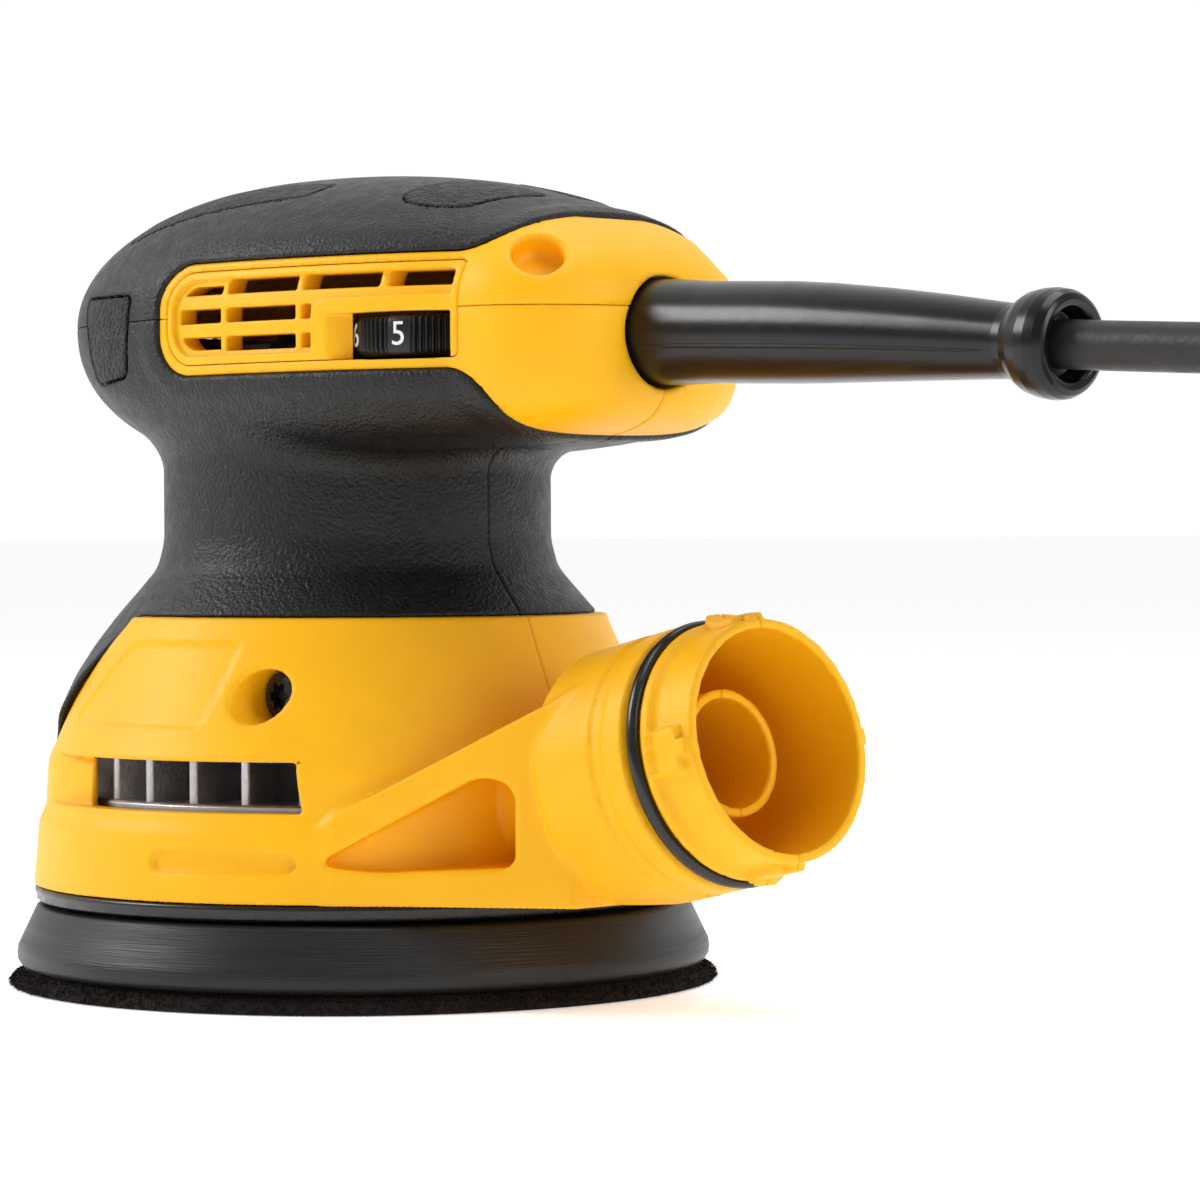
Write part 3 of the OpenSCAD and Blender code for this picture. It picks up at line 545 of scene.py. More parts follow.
def mesh_object(name, verts, faces, smooth=True):
    """Object from vertices in millimetres."""
    mesh = bpy.data.meshes.new(name)
    verts = np.asarray(verts, float) * MM
    if isinstance(faces, np.ndarray):
        mesh.vertices.add(len(verts))
        mesh.vertices.foreach_set("co", verts.astype(np.float32).ravel())
        size = faces.shape[1]
        mesh.loops.add(faces.size)
        mesh.loops.foreach_set("vertex_index", faces.astype(np.int32).ravel())
        mesh.polygons.add(len(faces))
        mesh.polygons.foreach_set("loop_start", np.arange(0, faces.size, size, dtype=np.int32))
        mesh.update(calc_edges=True)
        mesh.validate()
    else:
        mesh.from_pydata([tuple(v) for v in verts], [], faces)
        mesh.update()
    if smooth:
        mesh.shade_smooth()
    ob = bpy.data.objects.new(name, mesh)
    bpy.context.scene.collection.objects.link(ob)
    return ob


def ring_faces(rows, sides, closed=True):
    """Quads between rings of vertices; closed also joins the last ring to the first."""
    faces = []
    for k in range(rows if closed else rows - 1):
        a, b = k * sides, ((k + 1) % rows) * sides
        for i in range(sides):
            j = (i + 1) % sides
            faces.append((a + i, a + j, b + j, b + i))
    return faces


def lathe(name, profile, place=None, sides=192, closed=False):
    """Body of revolution from (radius, height) pairs; place moves a point into the row frame."""
    angle = np.arange(sides) * 2 * math.pi / sides
    rr = np.array([p[0] for p in profile])[:, None]
    zz = np.array([p[1] for p in profile])[:, None] + 0 * angle
    pts = np.stack([rr * np.cos(angle), rr * np.sin(angle), zz], axis=2).reshape(-1, 3)
    rows = len(profile)
    faces = ring_faces(rows, sides, closed)
    if not closed:
        for k, order in ((0, -1), (rows - 1, 1)):
            if profile[k][0] > 1e-6:
                faces.append(tuple(k * sides + i for i in range(sides))[::order])
    if place is not None:
        pts = np.array([place(p) for p in pts])
    ob = mesh_object(name, pts, faces)
    weld(ob)
    return ob


def weld(ob):
    """Closes a lathe's poles and makes all normals point outwards."""
    bm = bmesh.new()
    bm.from_mesh(ob.data)
    bmesh.ops.remove_doubles(bm, verts=bm.verts, dist=1e-6)
    bmesh.ops.recalc_face_normals(bm, faces=bm.faces)
    bm.to_mesh(ob.data)
    bm.free()


def rounded(points, r=0.4, n=4):
    """A profile with its inner corners rounded to radius r."""
    out = [points[0]]
    for a, b, c in zip(points, points[1:], points[2:], strict=False):
        a, b, c = (np.array(p, float) for p in (a, b, c))
        la, lc = np.linalg.norm(a - b), np.linalg.norm(c - b)
        cosine = np.clip(np.dot(a - b, c - b) / (la * lc), -0.999, 0.999)
        half = math.acos(cosine) / 2
        t = min(r / math.tan(half), la * 0.45, lc * 0.45)
        p, q = b + (a - b) / la * t, b + (c - b) / lc * t
        for k in range(n + 1):
            s = k / n
            out.append(tuple((1 - s) ** 2 * p + 2 * s * (1 - s) * b + s * s * q))
    out.append(points[-1])
    return out


def at_outlet(p):
    """A lathe's point, its axis laid along the outlet's."""
    return outlet_point(p[2], math.hypot(p[0], p[1]), math.atan2(p[1], p[0]))


# ---------- materials ----------

def add_node(tree, kind, **values):
    """Shader node with its input sockets set; an underscore stands for a space in a socket's name."""
    node = tree.nodes.new("ShaderNode" + kind)
    for name, value in values.items():
        node.inputs[name.replace("_", " ")].default_value = value
    return node


def surface(name, color, rough, metal=0.0, grains=(), tone=0.06, gloss=0.08, specular=0.5, stretch=(1, 1, 1)):
    """Principled material: colour and roughness vary a little, bump comes from (kind, scale, mm) layers."""
    mat = bpy.data.materials.new(name)
    mat.use_nodes = True
    tree = mat.node_tree
    shader = tree.nodes["Principled BSDF"]
    shader.inputs["Metallic"].default_value = metal
    shader.inputs["Specular IOR Level"].default_value = specular
    where = add_node(tree, "TexCoord").outputs["Object"]
    if stretch != (1, 1, 1):
        mapping = add_node(tree, "Mapping", Scale=stretch)
        tree.links.new(where, mapping.inputs["Vector"])
        where = mapping.outputs["Vector"]

    def noise(scale, detail=3.0):
        node = add_node(tree, "TexNoise", Scale=scale, Detail=detail)
        tree.links.new(where, node.inputs["Vector"])
        return node.outputs["Fac"]

    ramp = add_node(tree, "ValToRGB")
    dark, light = ramp.color_ramp.elements
    dark.position, light.position = 0.3, 0.7
    dark.color = (*[c * (1 - tone) for c in color], 1)
    light.color = (*[min(c * (1 + tone), 1) for c in color], 1)
    tree.links.new(noise(90, 5), ramp.inputs["Fac"])
    tree.links.new(ramp.outputs["Color"], shader.inputs["Base Color"])
    spread = add_node(tree, "MapRange", From_Min=0.3, From_Max=0.7, To_Min=rough - gloss,
                      To_Max=rough + gloss)
    tree.links.new(noise(420), spread.inputs["Value"])
    tree.links.new(spread.outputs["Result"], shader.inputs["Roughness"])
    last = None
    for kind, scale, height in grains:
        if kind == "cells":
            node = add_node(tree, "TexVoronoi", Scale=scale)
            tree.links.new(where, node.inputs["Vector"])
            level = node.outputs["Distance"]
        else:
            level = noise(scale, 2)
        bump = add_node(tree, "Bump", Strength=1.0, Distance=height * MM)
        tree.links.new(level, bump.inputs["Height"])
        if last:
            tree.links.new(last, bump.inputs["Normal"])
        last = bump.outputs["Normal"]
    if last:
        tree.links.new(last, shader.inputs["Normal"])
    return mat


def fine(scale, height):
    """A single layer of noise."""
    return [("noise", scale, height)]


FINISH = {
    "yellow_plastic": dict(color=(0.95, 0.475, 0.004), rough=0.45, specular=0.3, tone=0.03, gloss=0.02,
                           grains=[("noise", 2600, 0.06), ("noise", 700, 0.03)]),
    "rubber_skin": dict(color=(0.005, 0.005, 0.0052), rough=0.46, specular=0.38, tone=0.15,
                        grains=fine(1500, 0.32)),
    "grip_texture": dict(color=(0.008, 0.008, 0.0085), rough=0.52, specular=0.3, tone=0.15,
                         grains=[("cells", 1050, -0.6)]),
    "seal_rubber": dict(color=(0.009, 0.009, 0.010), rough=0.25, grains=fine(900, 0.02)),
    "brake_rubber": dict(color=(0.007, 0.007, 0.0075), rough=0.3, grains=fine(800, 0.03)),
    "bearing_steel": dict(color=(0.62, 0.62, 0.63), rough=0.22, metal=1.0, grains=fine(900, 0.01)),
    "steel": dict(color=(0.5, 0.5, 0.52), rough=0.34, metal=1.0, tone=0.12, grains=fine(1500, 0.02)),
    "cast_alloy": dict(color=(0.56, 0.56, 0.58), rough=0.42, metal=1.0, tone=0.1, grains=fine(1300, 0.08)),
    "core_iron": dict(color=(0.16, 0.155, 0.15), rough=0.5, metal=0.8, tone=0.25,
                      grains=fine(1800, 0.05), stretch=(0.05, 0.05, 1.0)),
    "copper": dict(color=(0.6, 0.24, 0.11), rough=0.3, metal=1.0, tone=0.3,
                   grains=fine(1500, 0.15), stretch=(1.0, 1.0, 0.12)),
    "brush_carbon": dict(color=(0.025, 0.025, 0.026), rough=0.55, tone=0.2, grains=fine(2400, 0.06)),
    "holder_plastic": dict(color=(0.05, 0.035, 0.03), rough=0.45, tone=0.2, grains=fine(1500, 0.03)),
    "carrier_plastic": dict(color=(0.035, 0.035, 0.037), rough=0.48, tone=0.15, grains=fine(1500, 0.04)),
    "module_resin": dict(color=(0.03, 0.05, 0.035), rough=0.3, tone=0.2, grains=fine(500, 0.05)),
    "dial_plastic": dict(color=(0.007, 0.007, 0.0075), rough=0.36, specular=0.4, tone=0.15,
                         grains=fine(2000, 0.04)),
    "rocker_rubber": dict(color=(0.014, 0.014, 0.015), rough=0.5, tone=0.15, grains=fine(1700, 0.08)),
    "switch_plastic": dict(color=(0.04, 0.04, 0.042), rough=0.42, tone=0.15, grains=fine(1500, 0.03)),
    "pad_plastic": dict(color=(0.009, 0.009, 0.0095), rough=0.42, specular=0.4, tone=0.15,
                        grains=fine(4200, 0.1), stretch=(0.02, 0.02, 1.0)),
    "hook_fabric": dict(color=(0.022, 0.016, 0.014), rough=0.85, specular=0.2, tone=0.3,
                        grains=[("cells", 1500, 0.8), ("noise", 3800, 0.4)]),
    "screw_black": dict(color=(0.03, 0.03, 0.032), rough=0.26, metal=0.7, tone=0.2,
                        grains=fine(1400, 0.03)),
    "cord_rubber": dict(color=(0.018, 0.018, 0.019), rough=0.5, specular=0.35, tone=0.15,
                        grains=fine(1600, 0.06)),
    "relief_rubber": dict(color=(0.004, 0.004, 0.0043), rough=0.25, specular=0.35, tone=0.1, gloss=0.02,
                          grains=fine(900, 0.012)),
    "wire_insulation": dict(color=(0.09, 0.03, 0.02), rough=0.4, tone=0.2, grains=fine(900, 0.03)),
    "tie_plastic": dict(color=(0.02, 0.02, 0.021), rough=0.45, tone=0.2, grains=fine(1500, 0.08)),
    "plug_brass": dict(color=(0.72, 0.56, 0.3), rough=0.28, metal=1.0, tone=0.1, grains=fine(1200, 0.02)),
}


def white_ink():
    """Material of the numbers on the dial."""
    return surface("number_white", color=(0.75, 0.75, 0.74), rough=0.5, tone=0.04,
                   grains=fine(1800, 0.02))


SURFACES = {slot: surface(slot + "_look", **how) for slot, how in FINISH.items()}


def dress(piece, body, slot, *nodes):
    """Gives a piece its material and its body, and hides the CAD nodes that it stands for."""
    piece.data.materials.clear()
    piece.data.materials.append(SURFACES[slot])
    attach(piece, body)
    if nodes:
        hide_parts(*nodes)
    return piece


for part in frame["record"]["subparts"]:
    for holder in frame["nodes"][part["node"]].material_slots:
        holder.material = SURFACES[part["material_slot"]]


# ---------- camera, light and floor ----------

def set_camera():
    """Low view of the left rear, from 0.75 m off the motor axis."""
    turn, reach, height = math.radians(40.85), 750.0, 78.7
    eye = Vector((reach * math.cos(turn), -reach * math.sin(turn), height))
    aside, aim_height = 42.88, 66.63
    aim = Vector((aside * math.sin(turn), aside * math.cos(turn), aim_height))
    forward = (aim - eye).normalized()
    right = forward.cross(Vector((0, 0, 1))).normalized()
    up = right.cross(forward)
    roll = math.radians(-0.27)
    r = right * math.cos(roll) + up * math.sin(roll)
    u = up * math.cos(roll) - right * math.sin(roll)
    data = bpy.data.cameras.new("camera")
    data.sensor_width = 36
    data.lens = 126.69
    data.clip_start = 0.01
    cam = bpy.data.objects.new("camera", data)
    bpy.context.scene.collection.objects.link(cam)
    axes = Matrix((r, u, -forward)).transposed().to_4x4()
    cam.matrix_world = Matrix.Translation(eye * MM) @ axes
    bpy.context.scene.camera = cam


def area_light(name, place, aim, size, power):
    """Rectangular soft box, placed in metres and turned to its aim."""
    data = bpy.data.lights.new(name, "AREA")
    data.shape = "RECTANGLE"
    data.size, data.size_y = size
    data.energy = power
    ob = bpy.data.objects.new(name, data)
    bpy.context.scene.collection.objects.link(ob)
    ob.location = place
    ob.rotation_euler = (Vector(place) - Vector(aim)).to_track_quat("Z", "Y").to_euler()


def set_light():
    """Three soft boxes in a world that is white behind the object and dimmer on the near side."""
    centre = (0.02, 0, 0.07)
    area_light("key", (-0.75, -0.75, 0.75), centre, (0.5, 0.5), 8)
    area_light("top", (0.15, 0.1, 1.1), centre, (0.9, 0.5), 5)
    area_light("side", (0.95, 0.15, 0.45), centre, (0.25, 0.6), 3)
    world = bpy.data.worlds.new("studio")
    bpy.context.scene.world = world
    world.use_nodes = True
    tree = world.node_tree
    back = tree.nodes["Background"]
    back.inputs["Color"].default_value = (1, 1, 1, 1)
    where = add_node(tree, "TexCoord")
    toward = add_node(tree, "VectorMath")
    toward.operation = "DOT_PRODUCT"
    toward.inputs[1].default_value = (-0.756, 0.654, 0.0)
    level = add_node(tree, "MapRange", From_Min=-0.1, From_Max=0.75, To_Min=0.36, To_Max=1.02)
    level.interpolation_type = "SMOOTHSTEP"
    tree.links.new(where.outputs["Generated"], toward.inputs[0])
    tree.links.new(toward.outputs["Value"], level.inputs["Value"])
    tree.links.new(level.outputs["Result"], back.inputs["Strength"])
    bpy.context.scene.view_settings.view_transform = "Standard"


def set_floor():
    """Pale plane, lit a little from itself so that the horizon fades."""
    mesh = bpy.data.meshes.new("floor")
    half = 40
    corners = [(-half, -half, 0), (half, -half, 0), (half, half, 0), (-half, half, 0)]
    mesh.from_pydata(corners, [], [(0, 1, 2, 3)])
    floor = bpy.data.objects.new("floor", mesh)
    bpy.context.scene.collection.objects.link(floor)
    mat = surface("floor_white", color=(0.92, 0.92, 0.92), rough=0.8, tone=0.005, specular=0.1)
    glow = mat.node_tree.nodes["Principled BSDF"]
    glow.inputs["Emission Color"].default_value = (1, 1, 1, 1)
    glow.inputs["Emission Strength"].default_value = 0.42
    mesh.materials.append(mat)


# ---------- mains lead ----------

LEAD = [(160.5, 0, 106.6), (170, 0, 106), (179.5, 0, 105.5), (189, 0, 105), (197, -0.6, 103.8),
        (204, -2.3, 101.5), (210, -4.4, 98.5), (215, -6.5, 94.9), (219.5, -8.5, 90.7), (223.5, -10.6, 85.7),
        (228, -13.2, 78.3), (233, -16, 69.6), (238, -19, 60.9), (243, -22, 52.3), (248, -25, 43.6),
        (253, -28, 35), (257.5, -30.6, 27.4), (262, -33.1, 20.7), (267, -35.6, 15.2), (273, -38.4, 10.7),
        (280, -41.2, 7.1), (288, -43.3, 4.7), (297, -44, CORD_R)]
TAIL = [(6, -41.4, 0.5), (14.5, -38.4, 2.6), (22.5, -33.2, 5.4), (29.5, -26.2, 8.3), (34.5, -18.4, 10.5),
        (37.5, -10.8, 11.6), (38.8, -3.4, 11.85)]
TURN_R = (34.5, 42.0, 49.5)
STEP_UP = 2 * CORD_R
COIL_TOP = CORD_R + 2 * STEP_UP
CHANGE_FROM, CHANGE_SPAN = 100, 100  # degrees of a turn in which the lead changes its lane


def coil_points(per_turn=30):
    """Seven turns: inwards on the floor, up, outwards, up, and inwards once more."""
    low, mid, top = CORD_R, CORD_R + STEP_UP, COIL_TOP
    r0, r1, r2 = TURN_R
    turns = [((r2, low), (r1, low), 0), ((r1, low), (r0, low), 0), ((r0, low), (r0, mid), -3.2),
             ((r0, mid), (r1, mid), 0), ((r1, mid), (r2, mid), 0), ((r2, mid), (r2, top), 3.2),
             ((r2, top), (r1, top), 0)]
    out = []
    for start, end, bulge in turns:
        for k in range(per_turn):
            phi = 360 * k / per_turn
            part = min(max((phi - CHANGE_FROM) / CHANGE_SPAN, 0), 1)
            t = soft(part)
            r = start[0] + (end[0] - start[0]) * t + bulge * math.sin(math.pi * part)
            z = start[1] + (end[1] - start[1]) * t
            a = math.radians(phi - 90)
            out.append((COIL[0] + r * math.cos(a), COIL[1] + r * math.sin(a), z))
    out.append((COIL[0], COIL[1] - r1, top))
    return out


def on_coil(p):
    """Point of the tail, given from the coil's middle at the height of its top turn."""
    return (COIL[0] + p[0], COIL[1] + p[1], COIL_TOP + p[2])


def make_cord():
    """The whole lead as one smooth tube."""
    route = LEAD[:-1] + coil_points() + [on_coil(p) for p in TAIL]
    data = bpy.data.curves.new("mains_lead", "CURVE")
    data.dimensions = "3D"
    data.bevel_depth = CORD_R * MM
    data.bevel_resolution = 6
    data.resolution_u = 4
    data.use_fill_caps = True
    line = data.splines.new("NURBS")
    line.order_u = 4
    line.use_endpoint_u = True
    line.points.add(len(route) - 1)
    for point, at in zip(line.points, route, strict=True):
        point.co = (*(c * MM for c in at), 1)
    cord = bpy.data.objects.new("mains_lead", data)
    bpy.context.scene.collection.objects.link(cord)
    return cord


# ---------- small pieces ----------

def make_dial():
    """Knurled wheel: fine ribs between smooth patches that carry the numbers 1 to 6."""
    sides, gap, start = 1080, math.radians(40), math.radians(-70)
    numbers = range(-1, 5)
    half = 3.4
    angle = np.arange(sides) * 2 * math.pi / sides
    nearest = np.full(sides, 9.0)
    for k in numbers:
        d = np.abs((angle - start - k * gap + math.pi) % (2 * math.pi) - math.pi)
        nearest = np.minimum(nearest, d)
    ribs = 0.5 - 0.5 * np.cos(angle * 90)
    blank = np.clip((nearest - 0.13) / 0.03, 0, 1)
    depth = 0.75 * ribs * blank
    rows = [(1.5, -half), (13.6, -half), (DIAL_R - 1.0, -half + 0.1), (DIAL_R - 0.3, -half + 0.5)]
    rows.append((DIAL_R, -half + 1.2))
    rows += [(r, -z) for r, z in rows[::-1]]
    pts = []
    for r, z in rows:
        share = np.clip((r - 12.5) / 2.5, 0, 1)
        rr = r - depth * share
        ring = [rr * np.cos(angle) + DIAL[0], rr * np.sin(angle) + DIAL[1], 0 * angle + z + DIAL[2]]
        pts.append(np.stack(ring, 1))
    wheel = mesh_object("dial", np.concatenate(pts), ring_faces(len(rows), sides))
    weld(wheel)
    dress(wheel, "speed_dial", "dial_plastic", "speed_dial")
    ink = white_ink()
    for k in numbers:
        data = bpy.data.curves.new("number", "FONT")
        data.body = str(5 - k)
        data.size = 5.6
        data.align_x = "CENTER"
        data.align_y = "CENTER"
        data.extrude = 0.12
        text = bpy.data.objects.new("number", data)
        bpy.context.scene.collection.objects.link(text)
        flat = bpy.data.meshes.new_from_object(text)
        bpy.data.objects.remove(text)
        verts = np.array([v.co for v in flat.vertices])
        a = start + k * gap + verts[:, 0] / DIAL_R
        r = DIAL_R - 0.02 + verts[:, 2]
        pts = np.stack([DIAL[0] + r * np.cos(a), DIAL[1] + r * np.sin(a), DIAL[2] + verts[:, 1]], 1)
        faces = [tuple(p.vertices) for p in flat.polygons]
        digit = mesh_object(f"dial_number_{5 - k}", pts, faces, smooth=False)
        digit.data.materials.append(ink)
        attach(digit, "speed_dial")


def make_relief():
    """Tapered rubber sleeve with a bell mouth, bowed up a little on its way."""
    sleeve = [(0.4, -18), (8.4, -18), (8.4, -8), (8.75, -4), (8.75, 0), (8.6, 4), (8.3, 12), (8.15, 30),
              (7.9, 38), (7.3, 50), (6.6, 62), (6.0, 71), (5.75, 75), (5.85, 76.6)]
    bell = [(7.2, 78.2), (7.9, 79.6), (8.35, 81.6), (8.5, 83.4), (8.3, 85.2), (7.7, 86.3), (6.9, 86.7),
            (5.9, 86.5), (5.5, 85.8), (5.3, 82.5), (3.0, 82.3), (0.4, 82.3)]
    profile = sleeve + bell
    c, s = math.cos(RELIEF_LEAN), math.sin(RELIEF_LEAN)
    line_at, line_width = -17, 1.3

    def place(p):
        """The bowed sleeve, with a fine moulding line along each side."""
        u = p[2]
        bow = 0.7 * math.sin(math.pi * min(max(u / 84, 0), 1))
        off = (math.degrees(math.atan2(p[1], abs(p[0]))) - line_at) / line_width
        ridge = 1 + 0.03 * math.exp(-off * off) * (1 < u < 74)
        side = p[0] * ridge
        up = p[1] * ridge + bow
        return (RELIEF_X + u * c + up * s, -side, RELIEF_Z - u * s + up * c)

    relief = lathe("relief", rounded(profile, 0.6), place, 288)
    dress(relief, "housing", "relief_rubber", "strain_relief")


def make_seal():
    """O-ring in the outlet's groove."""
    ring = [(21.15 + 0.95 * math.cos(a), -11.9 + 1.15 * math.sin(a)) for a in np.arange(20) * math.pi / 10]
    dress(lathe("seal", ring, at_outlet, 160, closed=True), "housing", "seal_rubber", "outlet_seal")


def make_brake():
    """Rubber ring between shroud and pad, with its foot in the shroud."""
    profile = [(50.5, 15.0), (56.3, 14.7), (57.0, 15.2), (56.9, 15.9), (57.2, 16.4), (57.2, 17.0),
               (56.9, 17.4), (53.6, 17.45), (53.6, 21.4), (51.8, 21.4), (51.8, 17.4), (50.5, 17.2)]
    dress(lathe("brake", profile, None, 256, closed=True), "housing", "brake_rubber", "brake_ring")


def punch_holes(piece, low, high):
    """Eight dust holes through the pad."""
    circle, hole_r = 32.5, 5
    bm = bmesh.new()
    for k in range(8):
        a = math.radians((k + 0.5) * 45)
        middle = (ORBIT + circle * math.cos(a), circle * math.sin(a), (low + high) / 2)
        at = Matrix.Translation([c * MM for c in middle])
        bmesh.ops.create_cone(bm, cap_ends=True, segments=40, radius1=hole_r * MM, radius2=hole_r * MM,
                              depth=(high - low) * MM, matrix=at)
    mesh = bpy.data.meshes.new("holes")
    bm.to_mesh(mesh)
    bm.free()
    tool = bpy.data.objects.new("holes", mesh)
    bpy.context.scene.collection.objects.link(tool)
    mod = piece.modifiers.new("holes", "BOOLEAN")
    mod.operation = "DIFFERENCE"
    mod.object = tool
    mod.solver = "EXACT"
    bpy.context.view_layer.update()
    done = bpy.data.meshes.new_from_object(piece.evaluated_get(bpy.context.evaluated_depsgraph_get()))
    piece.modifiers.clear()
    old = piece.data
    piece.data = done
    bpy.data.meshes.remove(old)
    bpy.data.objects.remove(tool)
    bpy.data.meshes.remove(mesh)
    piece.data.shade_smooth()
    sharpen(piece, 40)


def sharpen(piece, degrees):
    """Marks edges sharper than the angle, so that smooth shading stops at them."""
    piece.data.set_sharp_from_angle(angle=math.radians(degrees))


def off_centre(p):
    """A lathe's point, moved to the pad's own axis."""
    return (p[0] + ORBIT, p[1], p[2])


def make_pad():
    """Backing pad with turning marks, its hook face, and the loose hooks along the rim."""
    outer = [(60.3, 3.6), (60.95, 4.6), (61.05, 5.6), (60.9, 7.0)]
    for k in range(20):
        z = 7.3 + k * 0.33
        r = 60.85 - (z - 7) * 0.475
        outer += [(r, z), (r - 0.07, z + 0.16)]
    outer += [(57.2, 14.0), (56.4, 14.2)]
    profile = [(22, 3.2), (59.6, 3.2)] + outer + [(22, 14.2)]
    pad = lathe("pad", profile, off_centre, 256, closed=True)
    punch_holes(pad, 2, 16)
    dress(pad, "pad", "pad_plastic", "backing_pad")
    profile = [(22, 3.19), (58.6, 3.19), (59.6, 2.6), (61.2, 1.7), (62.0, 0.8), (62.1, 0.25), (61.4, 0.05),
               (22, 0.05)]
    hook = lathe("hook", profile, off_centre, 360, closed=True)
    punch_holes(hook, -1, 4)
    dress(hook, "pad", "hook_fabric", "hook_face")
    make_hook_rim()


def make_hook_rim():
    """Short bent fibres that stand out all round the hook face."""
    rng = np.random.default_rng(7)
    rng.normal(0, 1, (4, 720))  # these draws only move the generator on
    verts, faces = [], []
    for k in range(5200):
        a = rng.uniform(0, 2 * math.pi)
        z = rng.uniform(0.15, 2.6)
        r = np.interp(z, [0.15, 0.8, 1.7, 2.6], [61.9, 61.9, 61.1, 59.5])
        length = rng.uniform(0.4, 1.0)
        tip = rng.uniform(-0.6, 0.6, 2)
        base = np.array([ORBIT + r * math.cos(a), r * math.sin(a), z])
        out = np.array([math.cos(a), math.sin(a), 0])
        along = np.array([-math.sin(a), math.cos(a), 0])
        w = 0.09
        mid = base + out * length * 0.6 + along * tip[0] * 0.5 + np.array([0, 0, 0.15])
        end = base + out * length + along * tip[0] + np.array([0, 0, tip[1] * 0.6 - 0.1])
        end[2] = max(end[2], 0.03)
        n = len(verts)
        for at, s in ((base, w), (mid, w * 0.8)):
            verts += [at + along * s, at - along * s, at + np.array([0, 0, s * 1.4])]
        verts.append(end)
        faces += [(n, n + 1, n + 4, n + 3), (n + 1, n + 2, n + 5, n + 4), (n + 2, n, n + 3, n + 5),
                  (n + 3, n + 4, n + 6), (n + 4, n + 5, n + 6), (n + 5, n + 3, n + 6), (n + 2, n + 1, n)]
    pile = mesh_object("hook_rim", verts, faces)
    dress(pile, "pad", "hook_fabric")


def make_fan():
    """Blower wheel: base ring, straight vanes with rounded tips, and a hub drum coloured dark as painted
    shade for the inside behind the vanes.
    """
    verts, faces = [], []
    inner, outer, half = 34.0, 48.9, 0.85
    outline = [(inner, -half), (outer - half, -half)]
    for t in np.linspace(0.4, math.pi - 0.4, 5):
        outline.append((outer - half + half * math.sin(t), -half * math.cos(t)))
    outline += [(outer - half, half), (inner, half)]
    m = len(outline)
    for k in range(BLADES):
        a = 2 * math.pi * k / BLADES - math.radians(4)
        n = len(verts)
        for z, shrink in ((31.6, 0), (41.0, 0), (41.4, 0.3)):
            for r, w in outline:
                r -= shrink
                w *= 1 - shrink
                verts.append((r * math.cos(a) - w * math.sin(a), r * math.sin(a) + w * math.cos(a), z))
        for level in (0, m):
            faces += [(n + level + i, n + level + (i + 1) % m, n + level + m + (i + 1) % m, n + level + m + i)
                      for i in range(m)]
        faces += [tuple(n + i for i in range(m))[::-1], tuple(n + 2 * m + i for i in range(m))]
    vanes = mesh_object("fan_vanes", verts, faces)
    weld(vanes)
    ring = [(36, 30.6), (49.4, 30.6), (49.9, 31.0), (49.9, 33.1), (49.4, 33.5), (36, 33.5)]
    base = lathe("fan_ring", rounded(ring, 0.3), None, 160, closed=True)
    drum = [(9, 30.6), (37, 30.6), (37, 33.5), (35.5, 41.2), (34.5, 41.6), (9, 41.6)]
    hub = lathe("fan_hub", rounded(drum, 0.5), None, 128, closed=True)
    for piece in (vanes, base, hub):
        sharpen(piece, 35)
        dress(piece, "armature", "cast_alloy", "fan")
    # the hub drum takes the dark carrier plastic as painted shade: it darkens the housing's inside behind the
    # vanes
    hub.data.materials[0] = SURFACES["carrier_plastic"]


def make_screw_head(name, at, radius):
    """Pan head with a six-lobed recess, facing -Y, on its shank."""
    sides = 96
    shank = 1.8
    angle = np.arange(sides) * 2 * math.pi / sides
    lobe = radius * (0.48 + 0.09 * np.cos(6 * angle))
    one = np.ones(sides)
    rings = [(0.02 * one, -1.5), (0.9 * lobe, -1.5), (lobe, -0.2), (lobe + 0.12, 0.0),
             (0.8 * radius * one, -0.12), (0.95 * radius * one, -0.45), (radius * one, -1.0),
             (radius * one, -1.6), (shank * one, -2.0), (shank * one, -30), (0.02 * one, -31)]
    pts = []
    for r, h in rings:
        pts.append(np.stack([at[0] + r * np.cos(angle), 0 * angle + at[1] - h, at[2] + r * np.sin(angle)], 1))
    head = mesh_object(name, np.concatenate(pts), ring_faces(len(rings), sides))
    weld(head)
    sharpen(head, 40)
    dress(head, "housing", "screw_black", "housing_screws")


def make_plug():
    """Two-pin plug lying on the coil, with its blades and the tie round the turns."""
    end = np.array(on_coil(TAIL[-1]))
    turn = math.radians(-4)
    ahead = np.array([-math.sin(turn), math.cos(turn), 0])
    aside = np.array([math.cos(turn), math.sin(turn), 0])

    def place(p):
        flat = 0.92 if p[2] > 8 else 1.0
        return end + aside * p[0] + np.array([0, 0, p[1] * flat]) + ahead * p[2]

    profile = [(0.3, -1.5), (3.9, -1.5), (4.9, -1), (5.3, 0), (5.2, 2.0), (4.7, 2.3), (4.7, 2.9), (5.3, 3.2),
               (5.35, 5.0), (4.9, 5.3), (4.9, 5.9), (5.5, 6.2), (5.8, 8.2), (7.4, 9.8), (7.9, 12), (7.4, 17),
               (7.6, 21), (7.95, 24), (7.8, 25.8), (0.3, 26)]
    plug = lathe("plug", rounded(profile, 0.4), place, 96)
    dress(plug, "housing", "cord_rubber", "plug_body")
    verts, faces = [], []
    for side in (-1, 1):
        centre = end + aside * side * 6.375
        n = len(verts)
        outline = [(-3.2, 25.5), (3.2, 25.5), (3.2, 40.6), (2.2, 42), (-2.2, 42), (-3.2, 40.6)]
        for s in (-0.75, 0.75):
            verts += [centre + aside * s + np.array([0, 0, z]) + ahead * u for z, u in outline]
        m = len(outline)
        faces += [tuple(n + k for k in range(m)), tuple(n + m + k for k in range(m))[::-1]]
        faces += [(n + k, n + (k + 1) % m, n + m + (k + 1) % m, n + m + k) for k in range(m)]
    blades = mesh_object("plug_pins", verts, faces, smooth=False)
    weld(blades)
    dress(blades, "housing", "plug_brass", "plug_blades")
    tie = tie_strap()


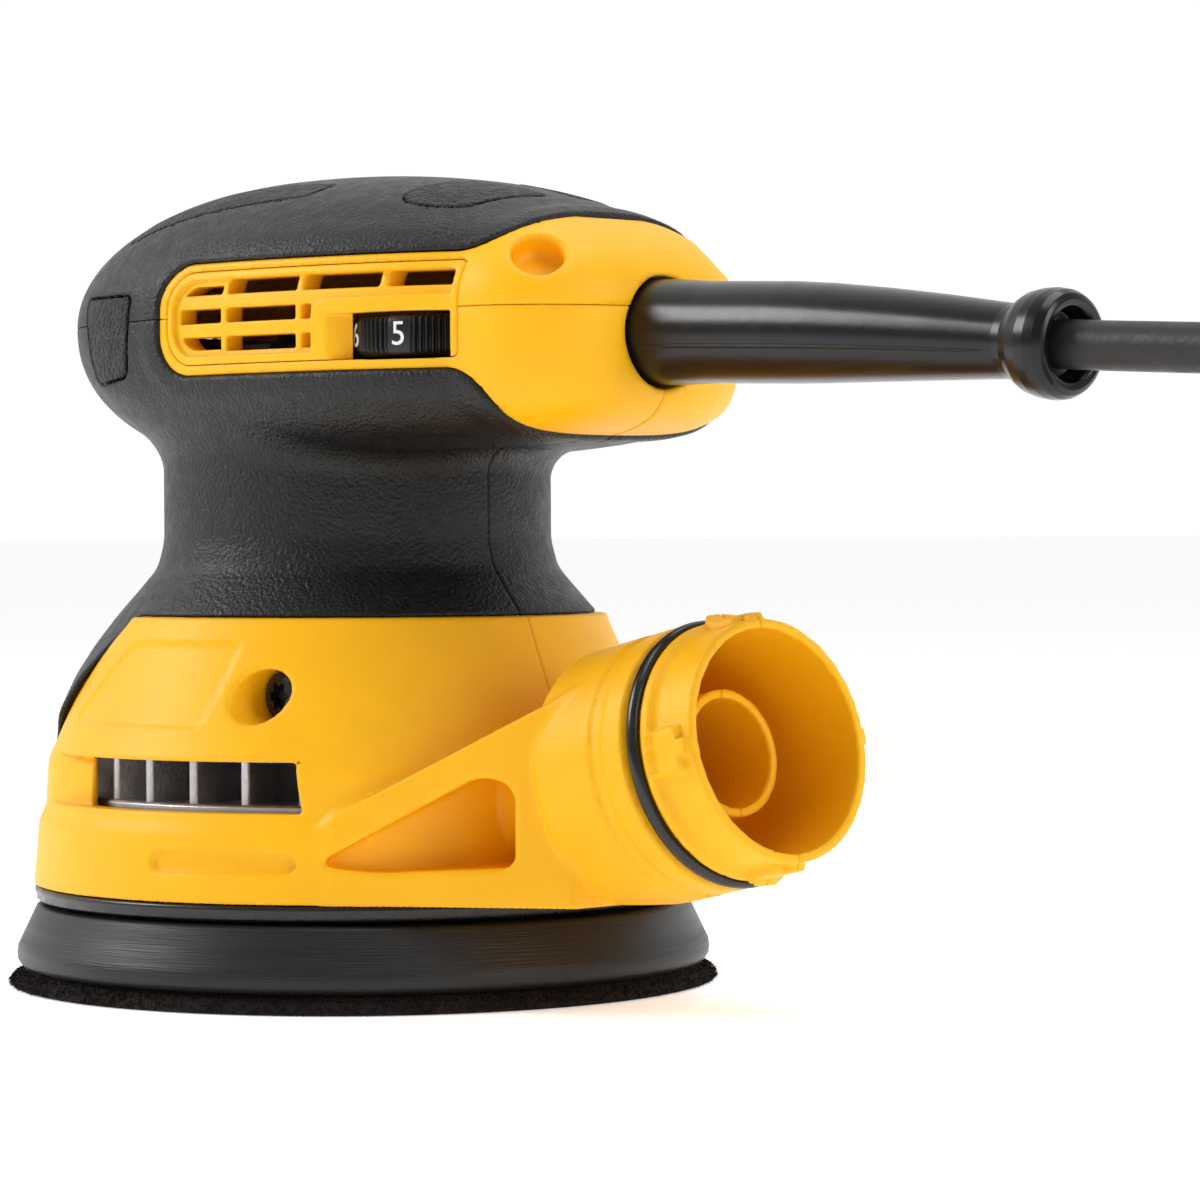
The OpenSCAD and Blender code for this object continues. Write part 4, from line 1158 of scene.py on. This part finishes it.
def tie_strap():
    """Flat strap over the coil; its ends reach down to the floor on both sides of the turns."""
    a = math.radians(150)
    out = np.array([math.cos(a), math.sin(a), 0])
    along = np.array([-math.sin(a), math.cos(a), 0])
    centre = np.array([COIL[0], COIL[1], 0]) + out * TURN_R[1]
    half, top, bend, thick = 11.45, 6 * CORD_R + 0.1, 3.6, 0.8
    inner = [(-half, 0.15)]
    for cx, cz, a0, a1 in ((-half + bend, top - bend, 180, 90), (half - bend, top - bend, 90, 0)):
        inner += [(cx + bend * math.cos(math.radians(t)), cz + bend * math.sin(math.radians(t)))
                  for t in np.linspace(a0, a1, 9)]
    inner.append((half, 0.15))
    outer = [(u * (half + thick) / half, z if z < 1 else z + thick) for u, z in inner]
    loop = inner + outer[::-1]
    verts, faces = [], []
    widths = (-3.5, -3.2, 3.2, 3.5)
    for w in widths:
        for u, z in loop:
            verts.append(centre + out * u + np.array([0, 0, z]) + along * w)
    m = len(loop)
    faces += ring_faces(len(widths), m, closed=False)
    h = len(inner)
    for k in (0, len(widths) - 1):
        faces += [(k * m + i, k * m + i + 1, k * m + m - 2 - i, k * m + m - 1 - i) for i in range(h - 1)]
    strap = mesh_object("tie", verts, faces)
    weld(strap)
    sharpen(strap, 35)
    return dress(strap, "housing", "tie_plastic", "cord_tie")


# ---------- moulded pieces ----------

def half_of(field, side, top):
    """One moulding of a field: split at the seams, with their edges broken."""
    gap, edge = 0.04, 0.28

    def part(x, y, z):
        d = meet(field(x, y, z), (SEAM_Z + gap - z) if top else (z - SEAM_Z + gap), edge)
        return meet(d, gap - side * y, edge) if side else d
    return part


def left_panel(x, y, z):
    """The left side panel, which has the speed dial."""
    return panel_field(x, -y, z, True)


def right_panel(x, y, z):
    """The right side panel, with slots all along."""
    return panel_field(x, y, z, False)


def moulded(name, field, lo, hi, step, slot, *nodes):
    """Carves a field and dresses the result as a fixed piece of the housing."""
    verts, quads = carve(field, lo, hi, step)
    return dress(mesh_object(name, verts, quads), "housing", slot, *nodes)


def make_body():
    """All pieces cut out of the fields; the numbers are the grid's corners and step."""
    low, high = (-60, -59, 16), (109, 59, 143)
    for word, side, panel in (("left", -1, left_panel), ("right", 1, right_panel)):
        y0, y1 = (low[1], 1) if side < 0 else (-1, high[1])
        moulded("shell_" + word, half_of(hard_body, side, False), (low[0], y0, low[2]), (high[0], y1, 117),
                0.7, "yellow_plastic", "housing_" + word)
        moulded("skin_" + word, half_of(rubber_body, side, False), (low[0], y0, 29), (80, y1, 117),
                0.6, "rubber_skin", "overmold_" + word)
        y0, y1 = (-45, -17) if side < 0 else (17, 45)
        moulded("vents_" + word, panel, (-5, y0, 105), (61, y1, 125),
                0.4, "yellow_plastic", "vent_panel_" + word)
    moulded("cover_top", half_of(hard_body, 0, True), (low[0], low[1], 114), high,
            0.7, "yellow_plastic", "top_cover")
    moulded("skin_top", half_of(rubber_body, 0, True), (low[0], low[1], 114), (80, high[1], high[2]),
            0.6, "rubber_skin", "top_grip")
    moulded("grips", pad_field, (-36, -44, 102), (56, 44, 142), 0.45, "grip_texture", "grip_pads")


# ---------- the scene ----------

set_camera()
cord = make_cord()
dress(cord, "housing", "cord_rubber", "cord_lead", "cord_coil", "cord_tail")
make_plug()
set_light()
set_floor()
make_body()
make_dial()
make_relief()
make_seal()
make_brake()
make_pad()
make_fan()
make_screw_head("screw_left", (SCREW[0], SCREW[1] - 2.1, SCREW[2]), 4.2)
